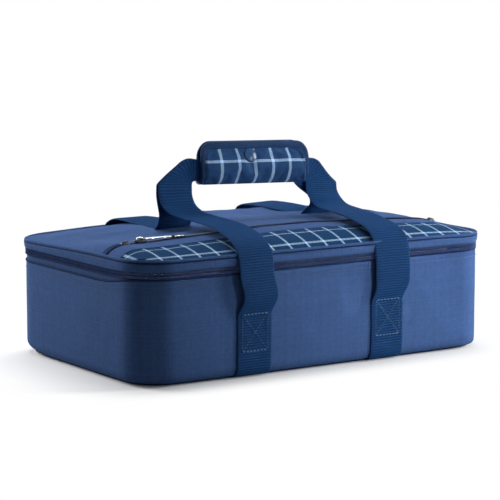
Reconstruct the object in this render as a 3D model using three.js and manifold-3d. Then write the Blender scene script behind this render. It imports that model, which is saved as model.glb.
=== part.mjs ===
// Insulated fabric carrier for a 9 x 13 inch casserole dish: a padded tub, a zipped lid with a
// zipped flat pocket, and two webbing handles held together by a padded wrap with a snap.
// Millimetres, +Z up, length along X, front at -Y, origin on the floor under the middle of the base.

import * as THREE from 'three';
import { mergeVertices } from 'three/addons/utils/BufferGeometryUtils.js';
import Module from 'manifold-3d';

const wasm = await Module();
wasm.setup();

// Tub
const BODY_LENGTH = 408;
const BODY_WIDTH = 250;
const CORNER_RADIUS = 38;
const WALL_TOP = 96;
const FABRIC = 1.0;
const WALL_FOAM = 5.0;
const LINER = 0.5;
const BASE_BOARD = 2.0;
const BASE_FOAM = 4.0;
const BASE_PIPING = 2.4;
const BASE_ROLL_IN = 6.0;
const BASE_ROLL_HEIGHT = 8.0;
const FIT_GAP = 0.3;

// Zippers
const ZIP_TAPE = 0.6;
const COIL_HEIGHT = 2.0;
const COIL_DEPTH = 1.5;
const COIL_PARTING = 1.2;
const TAPE_SHOWN_BELOW = 5.0;
const TAPE_SHOWN_ABOVE = 0.6;
const TAPE_SEWN_IN = 5.0;
const TAPE_BEHIND_COIL = 1.5;
const REAR_ZIP_RETURN = 55;
const HINGE_PANEL_CLEARANCE = 6;
const ZIP_STOP_LENGTH = 4;

// Lid
const LID_OVERHANG = 2.5;
const LID_BAND = 6.4;
const BAND_FABRIC = 1.2;
const LID_PIPING = 3.6;
const LID_CROWN = 9.5;
const LID_FOAM = 5.0;
const POCKET_LINING = 0.6;
const END_ROLL_OFF = 26;
const ARCH_POWER = 4.5;

// Pocket on the lid
const POCKET_ZIP_Y = -57;
const POCKET_ZIP_END = 28;
const POCKET_STOP_LENGTH = 9;
const POCKET_TAPE_WIDTH = 5.0;
const POCKET_HEM = 21;
const POCKET_COIL_WIDTH = 2.0;
const POCKET_COIL_HEIGHT = 1.4;

// Sliders and their pulls
const SLIDER_LENGTH = 13;
const SLIDER_PLATE = 1.3;
const BAIL_LENGTH = 7.2;
const BAIL_WIDTH = 2.4;
const BAIL_WIRE = 1.1;
const BAIL_OPENING = 2.0;
const PULL_LENGTH = 49;
const PULL_WIDTH = 5.2;
const PULL_PLATE = 1.3;
const PULL_CLEARANCE = 0.45;
const POCKET_SLIDER_INSET = 11;
const MAIN_SLIDER_Y = 64;

// Handles
const WEB_WIDTH = 38;
const WEB = 1.8;
const STRAP_X = 77.5;
const RISER_X = 87;
const ANCHOR_TOP = 62;
const ANCHOR_SHIFT = -5;
const RUN_BOTTOM = 169.5;
const RUN_HEIGHT = 19;
const HANDLE_PARTING = 1.2;
const SHOULDER_RISE = 2.5;

// Grip wrap
const GRIP_LENGTH = 130;
const GRIP_HEIGHT = 44;
const GRIP_PAD = 6.5;
const GRIP_POCKET = 9;
const BINDING_WIDTH = 8;
const BINDING_END = 4;
const BINDING_THICKNESS = 4;
const FOLD_THICKNESS = 3.4;
const SNAP_CAP = 14;
const SNAP_CAP_HEIGHT = 2.2;
const SNAP_RING = 10;
const SNAP_NUB = 4;
const SNAP_BELOW_TOP = 14.5;
const SNAP_X = -6;

// Curves are drawn with these counts
const CORNER_STEPS = 5;
const LID_SIDE_STEPS = 5;
const ROLL_STEPS = 3;
const CORD_SIDES = 8;
const STRAP_STEPS = 26;

// Levels, from the floor up
const pipingZ = BASE_PIPING / 2 + FIT_GAP;
const pipingTop = pipingZ + BASE_PIPING / 2;
const boardBottom = FABRIC + FIT_GAP;
const boardTop = boardBottom + BASE_BOARD;
const wallBottom = pipingTop + FIT_GAP;
const rollTop = wallBottom + BASE_ROLL_HEIGHT;
const foamBottom = Math.max(boardTop, pipingTop) + FIT_GAP;
const baseFoamTop = foamBottom + BASE_FOAM;
const linerFloor = baseFoamTop + FIT_GAP;
const tapeBottom = WALL_TOP - TAPE_SEWN_IN;
const wallFoamTop = tapeBottom - FIT_GAP;
const lowerCoilZ = WALL_TOP + TAPE_SHOWN_BELOW;
const lowerCoilTop = lowerCoilZ + COIL_HEIGHT;
const upperCoilZ = lowerCoilTop + COIL_PARTING;
const upperCoilTop = upperCoilZ + COIL_HEIGHT;
const zipMid = (lowerCoilTop + upperCoilZ) / 2;
const bandBottom = upperCoilTop + TAPE_SHOWN_ABOVE;
const bandTop = bandBottom + LID_BAND;
const lidPipingZ = bandTop + FIT_GAP + LID_PIPING / 2;
const lidEdgeZ = lidPipingZ + FABRIC / 2;

// Offsets in plan, outward from the outside of the tub
const foamOut = -FABRIC - FIT_GAP;
const foamIn = foamOut - WALL_FOAM;
const linerOut = foamIn - FIT_GAP;
const linerIn = linerOut - LINER;
const baseFoamOut = Math.min(linerOut, -FABRIC - BASE_ROLL_IN - FIT_GAP);
const tapeOut = -FABRIC - FIT_GAP;
const tapeIn = tapeOut - ZIP_TAPE;
const coilIn = tapeOut + FIT_GAP;
const coilOut = coilIn + COIL_DEPTH;
const pipingOut = -BASE_ROLL_IN;
const baseOut = pipingOut - BASE_PIPING / 2 - FIT_GAP;
const bandIn = LID_OVERHANG - BAND_FABRIC;
const lidPipingOut = LID_OVERHANG - LID_PIPING / 4;
const lidOut = lidPipingOut - LID_PIPING / 2 - FIT_GAP;

// Depths of the lid's layers, down from its top surface
const liningTop = FABRIC + FIT_GAP;
const liningBottom = liningTop + POCKET_LINING;
const lidFoamTop = liningBottom + FIT_GAP;
const lidFoamBottom = lidFoamTop + LID_FOAM;
const lidLinerTop = lidFoamBottom + FIT_GAP;
const lidLinerBottom = lidLinerTop + LINER;
const lidUnderside = lidEdgeZ - lidLinerBottom - FIT_GAP;

// Handle planes: each strap stands just off the middle plane, and its sewn end lies on the wall
const strapMid = HANDLE_PARTING / 2 + WEB / 2;
const anchorIn = BODY_WIDTH / 2 + FIT_GAP;
const pivotY = anchorIn + WEB + FIT_GAP + WEB / 2;
const pivotZ = ANCHOR_TOP + WEB / 3;
const runTop = RUN_BOTTOM + RUN_HEIGHT;
const gripTop = RUN_BOTTOM - FOLD_THICKNESS - FIT_GAP + GRIP_HEIGHT;
const gripBottom = gripTop - GRIP_HEIGHT;

// Finishes
const finish = (color, roughness, metalness = 0) =>
  new THREE.MeshStandardMaterial({ color, roughness, metalness });
const navy = finish(0x263a66, 0.85);
const webbing = finish(0x1c2f62, 0.8);
const plaid = finish(0x2c3a55, 0.85);
const trim = finish(0x1b2747, 0.8);
const tape = finish(0x2a2c48, 0.9);
const foam = finish(0xd8d8d2, 0.95);
const board = finish(0x3a3a3c, 0.7);
const foil = finish(0xc9ccd0, 0.3, 0.6);
const gunmetal = finish(0x4a4c52, 0.35, 0.9);
const silver = finish(0xd5d7da, 0.25, 1.0);
const cap = finish(0x18233f, 0.25);

// A solid from triangles, turned so that its faces point out
function closedSolid(points, faces) {
  let volume = 0;
  const [a, b, c] = [new THREE.Vector3(), new THREE.Vector3(), new THREE.Vector3()];
  for (const [i, j, k] of faces) {
    volume += a.copy(points[i]).dot(b.copy(points[j]).cross(c.copy(points[k])));
  }
  const index = faces.flatMap(([i, j, k]) => (volume > 0 ? [i, j, k] : [i, k, j]));
  const geometry = new THREE.BufferGeometry().setFromPoints(points);
  geometry.setIndex(index);
  return geometry;
}

// three.js geometry to and from the solids that are joined and cut
function toSolid(geometry) {
  const bare = geometry.clone();
  bare.deleteAttribute('normal');
  bare.deleteAttribute('uv');
  const merged = mergeVertices(bare, 1e-4);
  return new wasm.Manifold(new wasm.Mesh({
    numProp: 3,
    vertProperties: new Float32Array(merged.attributes.position.array),
    triVerts: new Uint32Array(merged.index.array),
  }));
}

function toGeometry(manifold) {
  const mesh = manifold.getMesh();
  const geometry = new THREE.BufferGeometry();
  geometry.setAttribute('position', new THREE.BufferAttribute(mesh.vertProperties, 3));
  geometry.setIndex(new THREE.BufferAttribute(mesh.triVerts, 1));
  return geometry;
}

const join = (...geometries) =>
  toGeometry(geometries.map(toSolid).reduce((whole, piece) => whole.add(piece)));
const common = (one, other) => toGeometry(toSolid(one).intersect(toSolid(other)));

// A box between two corners
function box(x0, x1, y0, y1, z0, z1) {
  const geometry = new THREE.BoxGeometry(x1 - x0, y1 - y0, z1 - z0);
  return geometry.translate((x0 + x1) / 2, (y0 + y1) / 2, (z0 + z1) / 2);
}

// The tub's rounded plan outline, moved out by an offset, anticlockwise from the front right,
// with each straight side cut into a number of equal steps
function outline(offset, sideSteps = 1) {
  const halfX = BODY_LENGTH / 2 + offset;
  const halfY = BODY_WIDTH / 2 + offset;
  const radius = Math.max(CORNER_RADIUS + offset, 1);
  const corners = [[1, -1], [1, 1], [-1, 1], [-1, -1]];
  const arcs = corners.map(([sx, sy], corner) =>
    Array.from({ length: CORNER_STEPS + 1 }, (_, step) => {
      const angle = (corner - 1 + step / CORNER_STEPS) * Math.PI / 2;
      return new THREE.Vector2(
        sx * (halfX - radius) + radius * Math.cos(angle),
        sy * (halfY - radius) + radius * Math.sin(angle));
    }));
  return arcs.flatMap((arc, corner) => {
    const [start, end] = [arc.at(-1), arcs[(corner + 1) % 4][0]];
    const side = Array.from({ length: sideSteps - 1 },
      (_, step) => start.clone().lerp(end, (step + 1) / sideSteps));
    return [...arc, ...side];
  });
}

// A solid through plan outlines [offset, z]: closed on itself as a ring, or capped at both ends.
// Faces are split the same way above and below, so that nested layers keep an even gap.
function loft(levels, isRing, sideSteps = 1) {
  const rings = levels.map(([offset, z]) => outline(offset, sideSteps).map((p) =>
    new THREE.Vector3(p.x, p.y, typeof z === 'function' ? z(p) : z)));
  const count = rings[0].length;
  const points = rings.flat();
  const faces = [];
  const bands = isRing ? rings.length : rings.length - 1;
  for (let r = 0; r < bands; r++) {
    const low = r * count;
    const high = ((r + 1) % rings.length) * count;
    const inward = levels[(r + 1) % rings.length][0] < levels[r][0];
    for (let i = 0; i < count; i++) {
      const next = (i + 1) % count;
      const [split, far] = inward ? [low + next, high + i] : [low + i, high + next];
      faces.push([low + i, low + next, far], [split, high + next, high + i]);
    }
  }
  if (!isRing) {
    const last = (rings.length - 1) * count;
    for (let i = 1; i < count - 1; i++) {
      faces.push([0, i + 1, i], [last, last + i, last + i + 1]);
    }
  }
  return closedSolid(points, faces);
}

const plate = (offset, z0, z1) => loft([[offset, z0], [offset, z1]], false);

function pipingRing(offset, z, diameter) {
  const section = Array.from({ length: CORD_SIDES }, (_, i) => {
    const angle = (i + 0.5) * 2 * Math.PI / CORD_SIDES;
    return [offset + diameter / 2 * Math.cos(angle), z + diameter / 2 * Math.sin(angle)];
  });
  return loft(section, true);
}

// The lid's top surface: a low pillow, steep at its seam and nearly flat inside. The pocket zipper
// holds it straight along its length, up to a roll-off at each end.
function lidTop(point) {
  const halfX = BODY_LENGTH / 2 + lidOut;
  const halfY = BODY_WIDTH / 2 + lidOut;
  const past = Math.max(Math.abs(point.x) - (halfX - END_ROLL_OFF), 0) / END_ROLL_OFF;
  const across = Math.min(Math.abs(point.y) / halfY, 1);
  return lidEdgeZ + LID_CROWN * (1 - past ** 2) * (1 - across ** ARCH_POWER);
}

// A layer of the lid between two depths under its top surface
function lidLayer(top, bottom) {
  const zipInset = BODY_WIDTH / 2 + lidOut - Math.abs(POCKET_ZIP_Y);
  const deepest = BODY_WIDTH / 2 - 6;
  const insets = [0, 4, 12, 26, 44, zipInset, deepest];
  const under = insets.toReversed().map((d) => [lidOut - d, (p) => lidTop(p) - bottom]);
  const over = insets.map((d) => [lidOut - d, (p) => lidTop(p) - top]);
  return loft([...under, ...over], false, LID_SIDE_STEPS);
}

const lidStrip = (top, bottom, y0, y1, halfX = BODY_LENGTH) =>
  common(lidLayer(top, bottom), box(-halfX, halfX, y0, y1, 0, 2 * gripTop));

// A zipper rail round the front and both ends, with a short return along the rear
function zipRail(out, inner, z0, z1) {
  const rearEnd = BODY_LENGTH / 2 - CORNER_RADIUS - REAR_ZIP_RETURN;
  const run = (offset) => {
    const points = outline(offset);
    const middle = 2 * (CORNER_STEPS + 1);
    const rearY = BODY_WIDTH / 2 + offset;
    const fromRearLeft = points.slice(middle);
    const toRearRight = points.slice(0, middle);
    return [
      new THREE.Vector2(-rearEnd, rearY), ...fromRearLeft, ...toRearRight,
      new THREE.Vector2(rearEnd, rearY),
    ];
  };
  const profile = new THREE.Shape([...run(out), ...run(inner).reverse()]);
  const geometry = new THREE.ExtrudeGeometry(profile, { depth: z1 - z0, bevelEnabled: false });
  return geometry.translate(0, 0, z0);
}

// Profiles drawn in the YZ plane run along X, and those drawn in the XZ plane run along -Y
const unitX = new THREE.Vector3(1, 0, 0);
const unitY = new THREE.Vector3(0, 1, 0);
const unitZ = new THREE.Vector3(0, 0, 1);

function alongX(points, x0, x1) {
  const profile = new THREE.Shape(points.map(([y, z]) => new THREE.Vector2(y, z)));
  const geometry = new THREE.ExtrudeGeometry(profile, { depth: x1 - x0, bevelEnabled: false });
  geometry.applyMatrix4(new THREE.Matrix4().makeBasis(unitY, unitZ, unitX));
  return geometry.translate(x0, 0, 0);
}

function alongY(profile, y0, y1) {
  const geometry = new THREE.ExtrudeGeometry(profile, { depth: y1 - y0, bevelEnabled: false });
  geometry.applyMatrix4(new THREE.Matrix4().makeBasis(unitX, unitZ, unitY.clone().negate()));
  return geometry.translate(0, y1, 0);
}

const carrier = new THREE.Group();

function addPiece(group, name, geometry, material) {
  const mesh = new THREE.Mesh(geometry, material);
  mesh.name = name;
  group.add(mesh);
  return mesh;
}

function addGroup(parent) {
  const group = new THREE.Group();
  parent.add(group);
  return group;
}

// Tub: outer fabric over foam, a stiff board in the base, and a foil liner with a turned-out rim
const tub = addGroup(carrier);
addPiece(tub, 'base_panel', plate(baseOut, 0, FABRIC), navy);
addPiece(tub, 'base_piping', pipingRing(pipingOut, pipingZ, BASE_PIPING), trim);
addPiece(tub, 'base_board', plate(baseOut, boardBottom, boardTop), board);
addPiece(tub, 'base_foam', plate(baseFoamOut, foamBottom, baseFoamTop), foam);
// The wall rolls under to the base seam, and its foam is cut at a slant to clear the roll
const roll = (inset, lift) => Array.from({ length: ROLL_STEPS + 1 }, (_, step) => {
  const angle = step / ROLL_STEPS * Math.PI / 2;
  return [-inset - BASE_ROLL_IN * (1 - Math.sin(angle)),
    wallBottom + lift * Math.cos(angle) + BASE_ROLL_HEIGHT * (1 - Math.cos(angle))];
});
addPiece(tub, 'side_wall', loft([
  ...roll(0, 0), [0, WALL_TOP], [-FABRIC, WALL_TOP], ...roll(FABRIC, FABRIC).toReversed()], true), navy);
addPiece(tub, 'wall_foam', loft([
  [foamOut, rollTop + FIT_GAP], [foamOut, wallFoamTop], [foamIn, wallFoamTop],
  [foamIn, foamBottom + BASE_FOAM / 2]], true), foam);
addPiece(tub, 'tub_liner', loft([
  [linerOut, linerFloor], [linerOut, tapeBottom], [tapeIn - FIT_GAP, tapeBottom],
  [tapeIn - FIT_GAP, tapeBottom + LINER], [linerIn, tapeBottom + LINER],
  [linerIn, linerFloor + LINER]], false), foil);

// Zipper between tub and lid, and the fabric panel that hinges them at the rear
addPiece(tub, 'lower_zip_tape',
  zipRail(tapeOut, tapeIn, tapeBottom, lowerCoilZ + TAPE_BEHIND_COIL), tape);
addPiece(tub, 'lower_zip_coil', zipRail(coilOut, coilIn, lowerCoilZ, lowerCoilTop), tape);
const rearEndX = BODY_LENGTH / 2 - CORNER_RADIUS - REAR_ZIP_RETURN;
const rearY = BODY_WIDTH / 2;
addPiece(tub, 'rear_hinge_panel', box(
  -rearEndX + HINGE_PANEL_CLEARANCE, rearEndX - HINGE_PANEL_CLEARANCE,
  rearY + tapeIn, rearY + tapeOut, tapeBottom, lidUnderside), navy);
for (const [side, sign] of [['left', -1], ['right', 1]]) {
  const near = rearEndX - FIT_GAP - ZIP_STOP_LENGTH;
  const [x0, x1] = [sign * near, sign * (near + ZIP_STOP_LENGTH)].sort((a, b) => a - b);
  addPiece(tub, `zip_stop_${side}`, box(
    x0, x1, rearY + coilIn, rearY + coilOut, lowerCoilZ, lowerCoilTop), gunmetal);
}

// Sewn ends of the handles, from the base piping up the front and rear walls
for (const [face, ySign] of [['front', -1], ['rear', 1]]) {
  for (const [side, xSign] of [['left', -1], ['right', 1]]) {
    const [y0, y1] = [ySign * anchorIn, ySign * (anchorIn + WEB)].sort((a, b) => a - b);
    const middle = xSign * STRAP_X + ANCHOR_SHIFT;
    addPiece(tub, `${face}_${side}_anchor`, box(
      middle - WEB_WIDTH / 2, middle + WEB_WIDTH / 2, y0, y1, wallBottom, ANCHOR_TOP), webbing);
  }
}

// Lid: a band hemmed to the upper zipper tape, piping, and padded layers under the outer fabric
const lid = addGroup(carrier);
addPiece(lid, 'upper_zip_tape',
  zipRail(tapeOut, tapeIn, upperCoilTop - TAPE_BEHIND_COIL, lidUnderside), tape);
addPiece(lid, 'upper_zip_coil', zipRail(coilOut, coilIn, upperCoilZ, upperCoilTop), tape);
addPiece(lid, 'lid_band', loft([
  [LID_OVERHANG, bandBottom], [LID_OVERHANG, bandTop], [bandIn, bandTop],
  [bandIn, lidUnderside], [tapeOut + FIT_GAP, lidUnderside],
  [tapeOut + FIT_GAP, bandBottom]], true), navy);
addPiece(lid, 'lid_piping', pipingRing(lidPipingOut, lidPipingZ, LID_PIPING), navy);
addPiece(lid, 'lid_liner', lidLayer(lidLinerTop, lidLinerBottom), foil);
addPiece(lid, 'lid_foam', lidLayer(lidFoamTop, lidFoamBottom), foam);
addPiece(lid, 'pocket_lining', lidLayer(liningTop, liningBottom), tape);

// Pocket: a zipper across the lid, with the check panel and its plain hem in front of it
const pocketZipHalf = BODY_LENGTH / 2 - POCKET_ZIP_END;
const zipHalfWidth = COIL_PARTING / 2 + POCKET_TAPE_WIDTH;
const hemEdge = POCKET_ZIP_Y - zipHalfWidth - FIT_GAP;
const plaidEdge = hemEdge - POCKET_HEM;
addPiece(lid, 'pocket_panel',
  lidStrip(0, FABRIC, -BODY_WIDTH, plaidEdge - FIT_GAP), plaid);
addPiece(lid, 'pocket_hem', lidStrip(0, FABRIC, plaidEdge, hemEdge), navy);
addPiece(lid, 'lid_panel',
  lidStrip(0, FABRIC, POCKET_ZIP_Y + zipHalfWidth + FIT_GAP, BODY_WIDTH), navy);
for (const [side, sign] of [['front', -1], ['rear', 1]]) {
  const span = (width) => [
    POCKET_ZIP_Y + sign * COIL_PARTING / 2,
    POCKET_ZIP_Y + sign * (COIL_PARTING / 2 + width)].sort((a, b) => a - b);
  addPiece(lid, `pocket_tape_${side}`,
    lidStrip(FIT_GAP, FIT_GAP + ZIP_TAPE, ...span(POCKET_TAPE_WIDTH), pocketZipHalf), tape);
  addPiece(lid, `pocket_coil_${side}`,
    lidStrip(-POCKET_COIL_HEIGHT, 0, ...span(POCKET_COIL_WIDTH), pocketZipHalf), tape);
}
const stopReach = COIL_PARTING / 2 + POCKET_COIL_WIDTH;
const stopStart = pocketZipHalf + FIT_GAP;
const pocketEnds = lidStrip(-POCKET_COIL_HEIGHT, 0,
  POCKET_ZIP_Y - stopReach, POCKET_ZIP_Y + stopReach);
for (const [side, sign] of [['left', -1], ['right', 1]]) {
  const [x0, x1] = [sign * stopStart, sign * (stopStart + POCKET_STOP_LENGTH)].sort((a, b) => a - b);
  addPiece(lid, `pocket_stop_${side}`,
    common(pocketEnds, box(x0, x1, -BODY_WIDTH, BODY_WIDTH, 0, 2 * gripTop)), gunmetal);
}

// A zipper slider in its own frame: it runs along X and its plate faces +Z, at z = 0 below.
// A thin post reaches down between the two coils, and a bail on top carries the pull.
function sliderBody(width, postDepth) {
  const plan = new THREE.Shape([
    [-SLIDER_LENGTH / 2, -width * 0.32], [-SLIDER_LENGTH / 4, -width / 2],
    [SLIDER_LENGTH / 2, -width / 2], [SLIDER_LENGTH / 2, width / 2],
    [-SLIDER_LENGTH / 4, width / 2], [-SLIDER_LENGTH / 2, width * 0.32],
  ].map(([x, y]) => new THREE.Vector2(x, y)));
  const top = new THREE.ExtrudeGeometry(plan, { depth: SLIDER_PLATE, bevelEnabled: false });
  const post = box(-SLIDER_LENGTH / 4, SLIDER_LENGTH / 4,
    -COIL_PARTING / 4, COIL_PARTING / 4, -postDepth, SLIDER_PLATE / 2);
  const half = BAIL_LENGTH / 2;
  const crown = SLIDER_PLATE + BAIL_OPENING + BAIL_WIRE;
  const loop = new THREE.Shape([
    [-half, SLIDER_PLATE / 2], [half, SLIDER_PLATE / 2], [half, crown - BAIL_WIRE],
    [half - BAIL_WIRE, crown], [-half + BAIL_WIRE, crown], [-half, crown - BAIL_WIRE],
  ].map(([x, z]) => new THREE.Vector2(x, z)));
  loop.holes.push(new THREE.Path([
    [-half + BAIL_WIRE, SLIDER_PLATE * 0.8], [half - BAIL_WIRE, SLIDER_PLATE * 0.8],
    [half - BAIL_WIRE, crown - BAIL_WIRE], [-half + BAIL_WIRE, crown - BAIL_WIRE],
  ].map(([x, z]) => new THREE.Vector2(x, z))));
  return join(top, post, alongY(loop, -BAIL_WIDTH / 2, BAIL_WIDTH / 2));
}

// A pull in its own frame: its end bar turns on the Y axis inside the bail, and it lies along +X
const eyeHalf = BAIL_WIDTH / 2 + PULL_CLEARANCE;
const eyeReach = BAIL_LENGTH / 2 + PULL_CLEARANCE;
function pullTab() {
  const half = PULL_WIDTH / 2;
  const bar = PULL_PLATE / 2;
  const plan = new THREE.Shape();
  plan.moveTo(-bar, -half);
  plan.lineTo(PULL_LENGTH - half, -half);
  plan.absarc(PULL_LENGTH - half, 0, half, -Math.PI / 2, Math.PI / 2, false);
  plan.lineTo(-bar, half);
  plan.holes.push(new THREE.Path([
    [bar, -eyeHalf], [eyeReach, -eyeHalf], [eyeReach, eyeHalf], [bar, eyeHalf],
  ].map(([x, y]) => new THREE.Vector2(x, y))));
  const geometry = new THREE.ExtrudeGeometry(plan,
    { depth: PULL_PLATE, bevelEnabled: false, curveSegments: CORNER_STEPS });
  return geometry.translate(0, 0, -PULL_PLATE / 2);
}
const pullHeight = SLIDER_PLATE + BAIL_OPENING / 2;

// Pocket slider at the left end of its zipper, its pull lying along the coil
const pocketZipTop = lidTop(new THREE.Vector2(0, POCKET_ZIP_Y + stopReach)) + POCKET_COIL_HEIGHT;
const pocketSlider = addGroup(lid);
pocketSlider.position.set(
  POCKET_SLIDER_INSET - pocketZipHalf, POCKET_ZIP_Y, pocketZipTop + FIT_GAP);
addPiece(pocketSlider, 'pocket_slider',
  sliderBody(2 * stopReach + 2 * FABRIC, POCKET_COIL_HEIGHT), gunmetal);
addPiece(pocketSlider, 'pocket_pull', pullTab(), silver).position.z = pullHeight;

// Main slider on the right end, turned so that it runs along Y and faces outward
const mainSlider = addGroup(tub);
mainSlider.position.set(BODY_LENGTH / 2 + coilOut + FIT_GAP, MAIN_SLIDER_Y, zipMid);
mainSlider.setRotationFromMatrix(new THREE.Matrix4().makeBasis(
  unitY.clone().negate(), unitZ.clone().negate(), unitX));
addPiece(mainSlider, 'main_slider',
  sliderBody(2 * COIL_HEIGHT + COIL_PARTING, COIL_DEPTH), gunmetal);
addPiece(mainSlider, 'main_pull', pullTab(), silver).position.z = pullHeight;

// The free part of a handle strap, from its sewn end over the lid's edge to the upright riser:
// points are [Y out from the middle, Z, X], clear of the lid's edge and of the pocket zipper,
// and on the lid they lie at shares of its half width.
const edgeY = BODY_WIDTH / 2 + lidPipingOut + LID_PIPING / 2 + WEB;
const crest = (y) => lidTop(new THREE.Vector2(0, -y)) + POCKET_COIL_HEIGHT + WEB;
const overLid = (share, lift, x) => {
  const y = share * BODY_WIDTH / 2;
  return [y, crest(y) + lift, x];
};
const strapRoute = new THREE.CatmullRomCurve3([
  [pivotY, pivotZ, STRAP_X],
  [edgeY + 1, pivotZ + 16, STRAP_X],
  [edgeY + 2, WALL_TOP, STRAP_X + 1],
  [edgeY + 0.5, bandTop, STRAP_X + 1],
  [edgeY - 7, lidEdgeZ + 9, STRAP_X + 1],
  [edgeY - 22, lidEdgeZ + 14, STRAP_X + 1],
  overLid(0.752, 5.0, STRAP_X),
  overLid(0.576, 6.0, STRAP_X),
  overLid(0.384, 6.5, STRAP_X + 1),
  overLid(0.224, 7.0, STRAP_X + 3),
  overLid(0.104, 9.5, STRAP_X + 6),
  [strapMid + 2.5, crest(0) + 19, RISER_X],
  [strapMid, RUN_BOTTOM - WEB, RISER_X],
].map(([y, z, x]) => new THREE.Vector3(x, y, z)), false, 'centripetal');

// One leg as a flat ribbon whose width lies along X
function strapLeg(xSign, ySign) {
  const points = [];
  const faces = [];
  for (let step = 0; step <= STRAP_STEPS; step++) {
    const at = strapRoute.getPointAt(step / STRAP_STEPS);
    const along = strapRoute.getTangentAt(step / STRAP_STEPS);
    const normal = new THREE.Vector2(along.z, -along.y).normalize().multiplyScalar(WEB / 2);
    for (const [w, n] of [[-1, -1], [1, -1], [1, 1], [-1, 1]]) {
      points.push(new THREE.Vector3(
        xSign * at.x + w * WEB_WIDTH / 2, ySign * (at.y + n * normal.x), at.z + n * normal.y));
    }
    if (step === 0) continue;
    const here = 4 * step;
    for (let i = 0; i < 4; i++) {
      const next = (i + 1) % 4;
      faces.push([here - 4 + i, here - 4 + next, here + next], [here - 4 + i, here + next, here + i]);
    }
  }
  const last = 4 * STRAP_STEPS;
  faces.push([0, 2, 1], [0, 3, 2], [last, last + 1, last + 2], [last, last + 2, last + 3]);
  return closedSolid(points, faces);
}

// The upright loop between the legs: two risers with cut-off shoulders, folded double in the wrap
function strapArch(ySign) {
  const outer = RISER_X + WEB_WIDTH / 2;
  const inner = RISER_X - WEB_WIDTH / 2;
  const foot = RUN_BOTTOM - 4 * WEB;
  const shoulder = runTop + SHOULDER_RISE;
  const gripEnd = GRIP_LENGTH / 2;
  const half = [
    [inner, foot], [outer, foot], [outer, RUN_BOTTOM + WEB], [RISER_X - 5, shoulder],
    [gripEnd + 6, shoulder], [gripEnd, runTop]];
  const mirrored = half.toReversed().map(([x, z]) => [-x, z]);
  const bottom = [[-inner, RUN_BOTTOM], [inner, RUN_BOTTOM]];
  const profile = new THREE.Shape(
    [...half, ...mirrored, ...bottom].map(([x, z]) => new THREE.Vector2(x, z)));
  const span = (near, far) => [ySign * near, ySign * far].sort((a, b) => a - b);
  const single = alongY(profile, ...span(strapMid - WEB / 2, strapMid + WEB / 2));
  const doubled = box(-gripEnd, gripEnd, ...span(strapMid, strapMid + 1.5 * WEB),
    RUN_BOTTOM, runTop);
  return join(single, doubled);
}

const frontHandle = addGroup(carrier);
const rearHandle = addGroup(carrier);
for (const [name, group, ySign] of [['front', frontHandle, -1], ['rear', rearHandle, 1]]) {
  addPiece(group, `${name}_handle_webbing`,
    join(strapArch(ySign), strapLeg(-1, ySign), strapLeg(1, ySign)), webbing);
}

// Grip wrap, as profiles [Y, Z] of its rear half: a padded wall that thins towards its top edge
const pocketHalf = GRIP_POCKET / 2;
const padOut = pocketHalf + GRIP_PAD;
const padTop = gripTop - BINDING_WIDTH;
const padTopOut = pocketHalf + BINDING_THICKNESS / 3;
const facetLow = gripTop - SNAP_BELOW_TOP - SNAP_CAP / 2 - 1;
const foldEnd = pocketHalf - 0.6;
const padOutside = [
  [pocketHalf, gripBottom], [padOut - 2, gripBottom + 4], [padOut, gripBottom + 12],
  [padOut - 0.4, facetLow], [padTopOut, padTop]];
const padWall = [...padOutside, [pocketHalf, padTop], [pocketHalf, gripBottom + FOLD_THICKNESS]];
const backProfile = [
  [-foldEnd, gripBottom], ...padWall, [-foldEnd, gripBottom + FOLD_THICKNESS]];
const flapProfile = padWall.map(([y, z]) => [-y, z]).reverse();
const finOut = padTopOut + 0.8;
const finProfile = [
  [finOut - BINDING_THICKNESS, padTop + FIT_GAP], [finOut, padTop + FIT_GAP],
  [finOut, gripTop - 1], [finOut - 1, gripTop], [finOut - BINDING_THICKNESS + 1, gripTop],
  [finOut - BINDING_THICKNESS, gripTop - 1]];
const padHalf = GRIP_LENGTH / 2 - BINDING_END;
const mirrorY = (profile) => profile.map(([y, z]) => [-y, z]).reverse();

// Binding along the top edge and down both ends of one half of the wrap
function gripBinding(edge, wall) {
  const end = GRIP_LENGTH / 2;
  const pieces = [alongX(edge, -end, end)];
  const tall = wall.map(([y, z]) => [y, Math.abs(z - padTop) < 1e-6 ? padTop + 2 * FIT_GAP : z]);
  for (const [x0, x1] of [[-end, -padHalf - FIT_GAP], [padHalf + FIT_GAP, end]]) {
    pieces.push(alongX(tall, x0, x1));
  }
  return join(...pieces);
}

addPiece(rearHandle, 'grip_back_pad', alongX(backProfile, -padHalf, padHalf), plaid);
addPiece(rearHandle, 'grip_back_binding', gripBinding(finProfile, padWall), trim);
const flap = addGroup(rearHandle);
addPiece(flap, 'grip_flap_pad', alongX(flapProfile, -padHalf, padHalf), plaid);
addPiece(flap, 'grip_flap_binding', gripBinding(mirrorY(finProfile), mirrorY(padWall)), trim);

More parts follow.
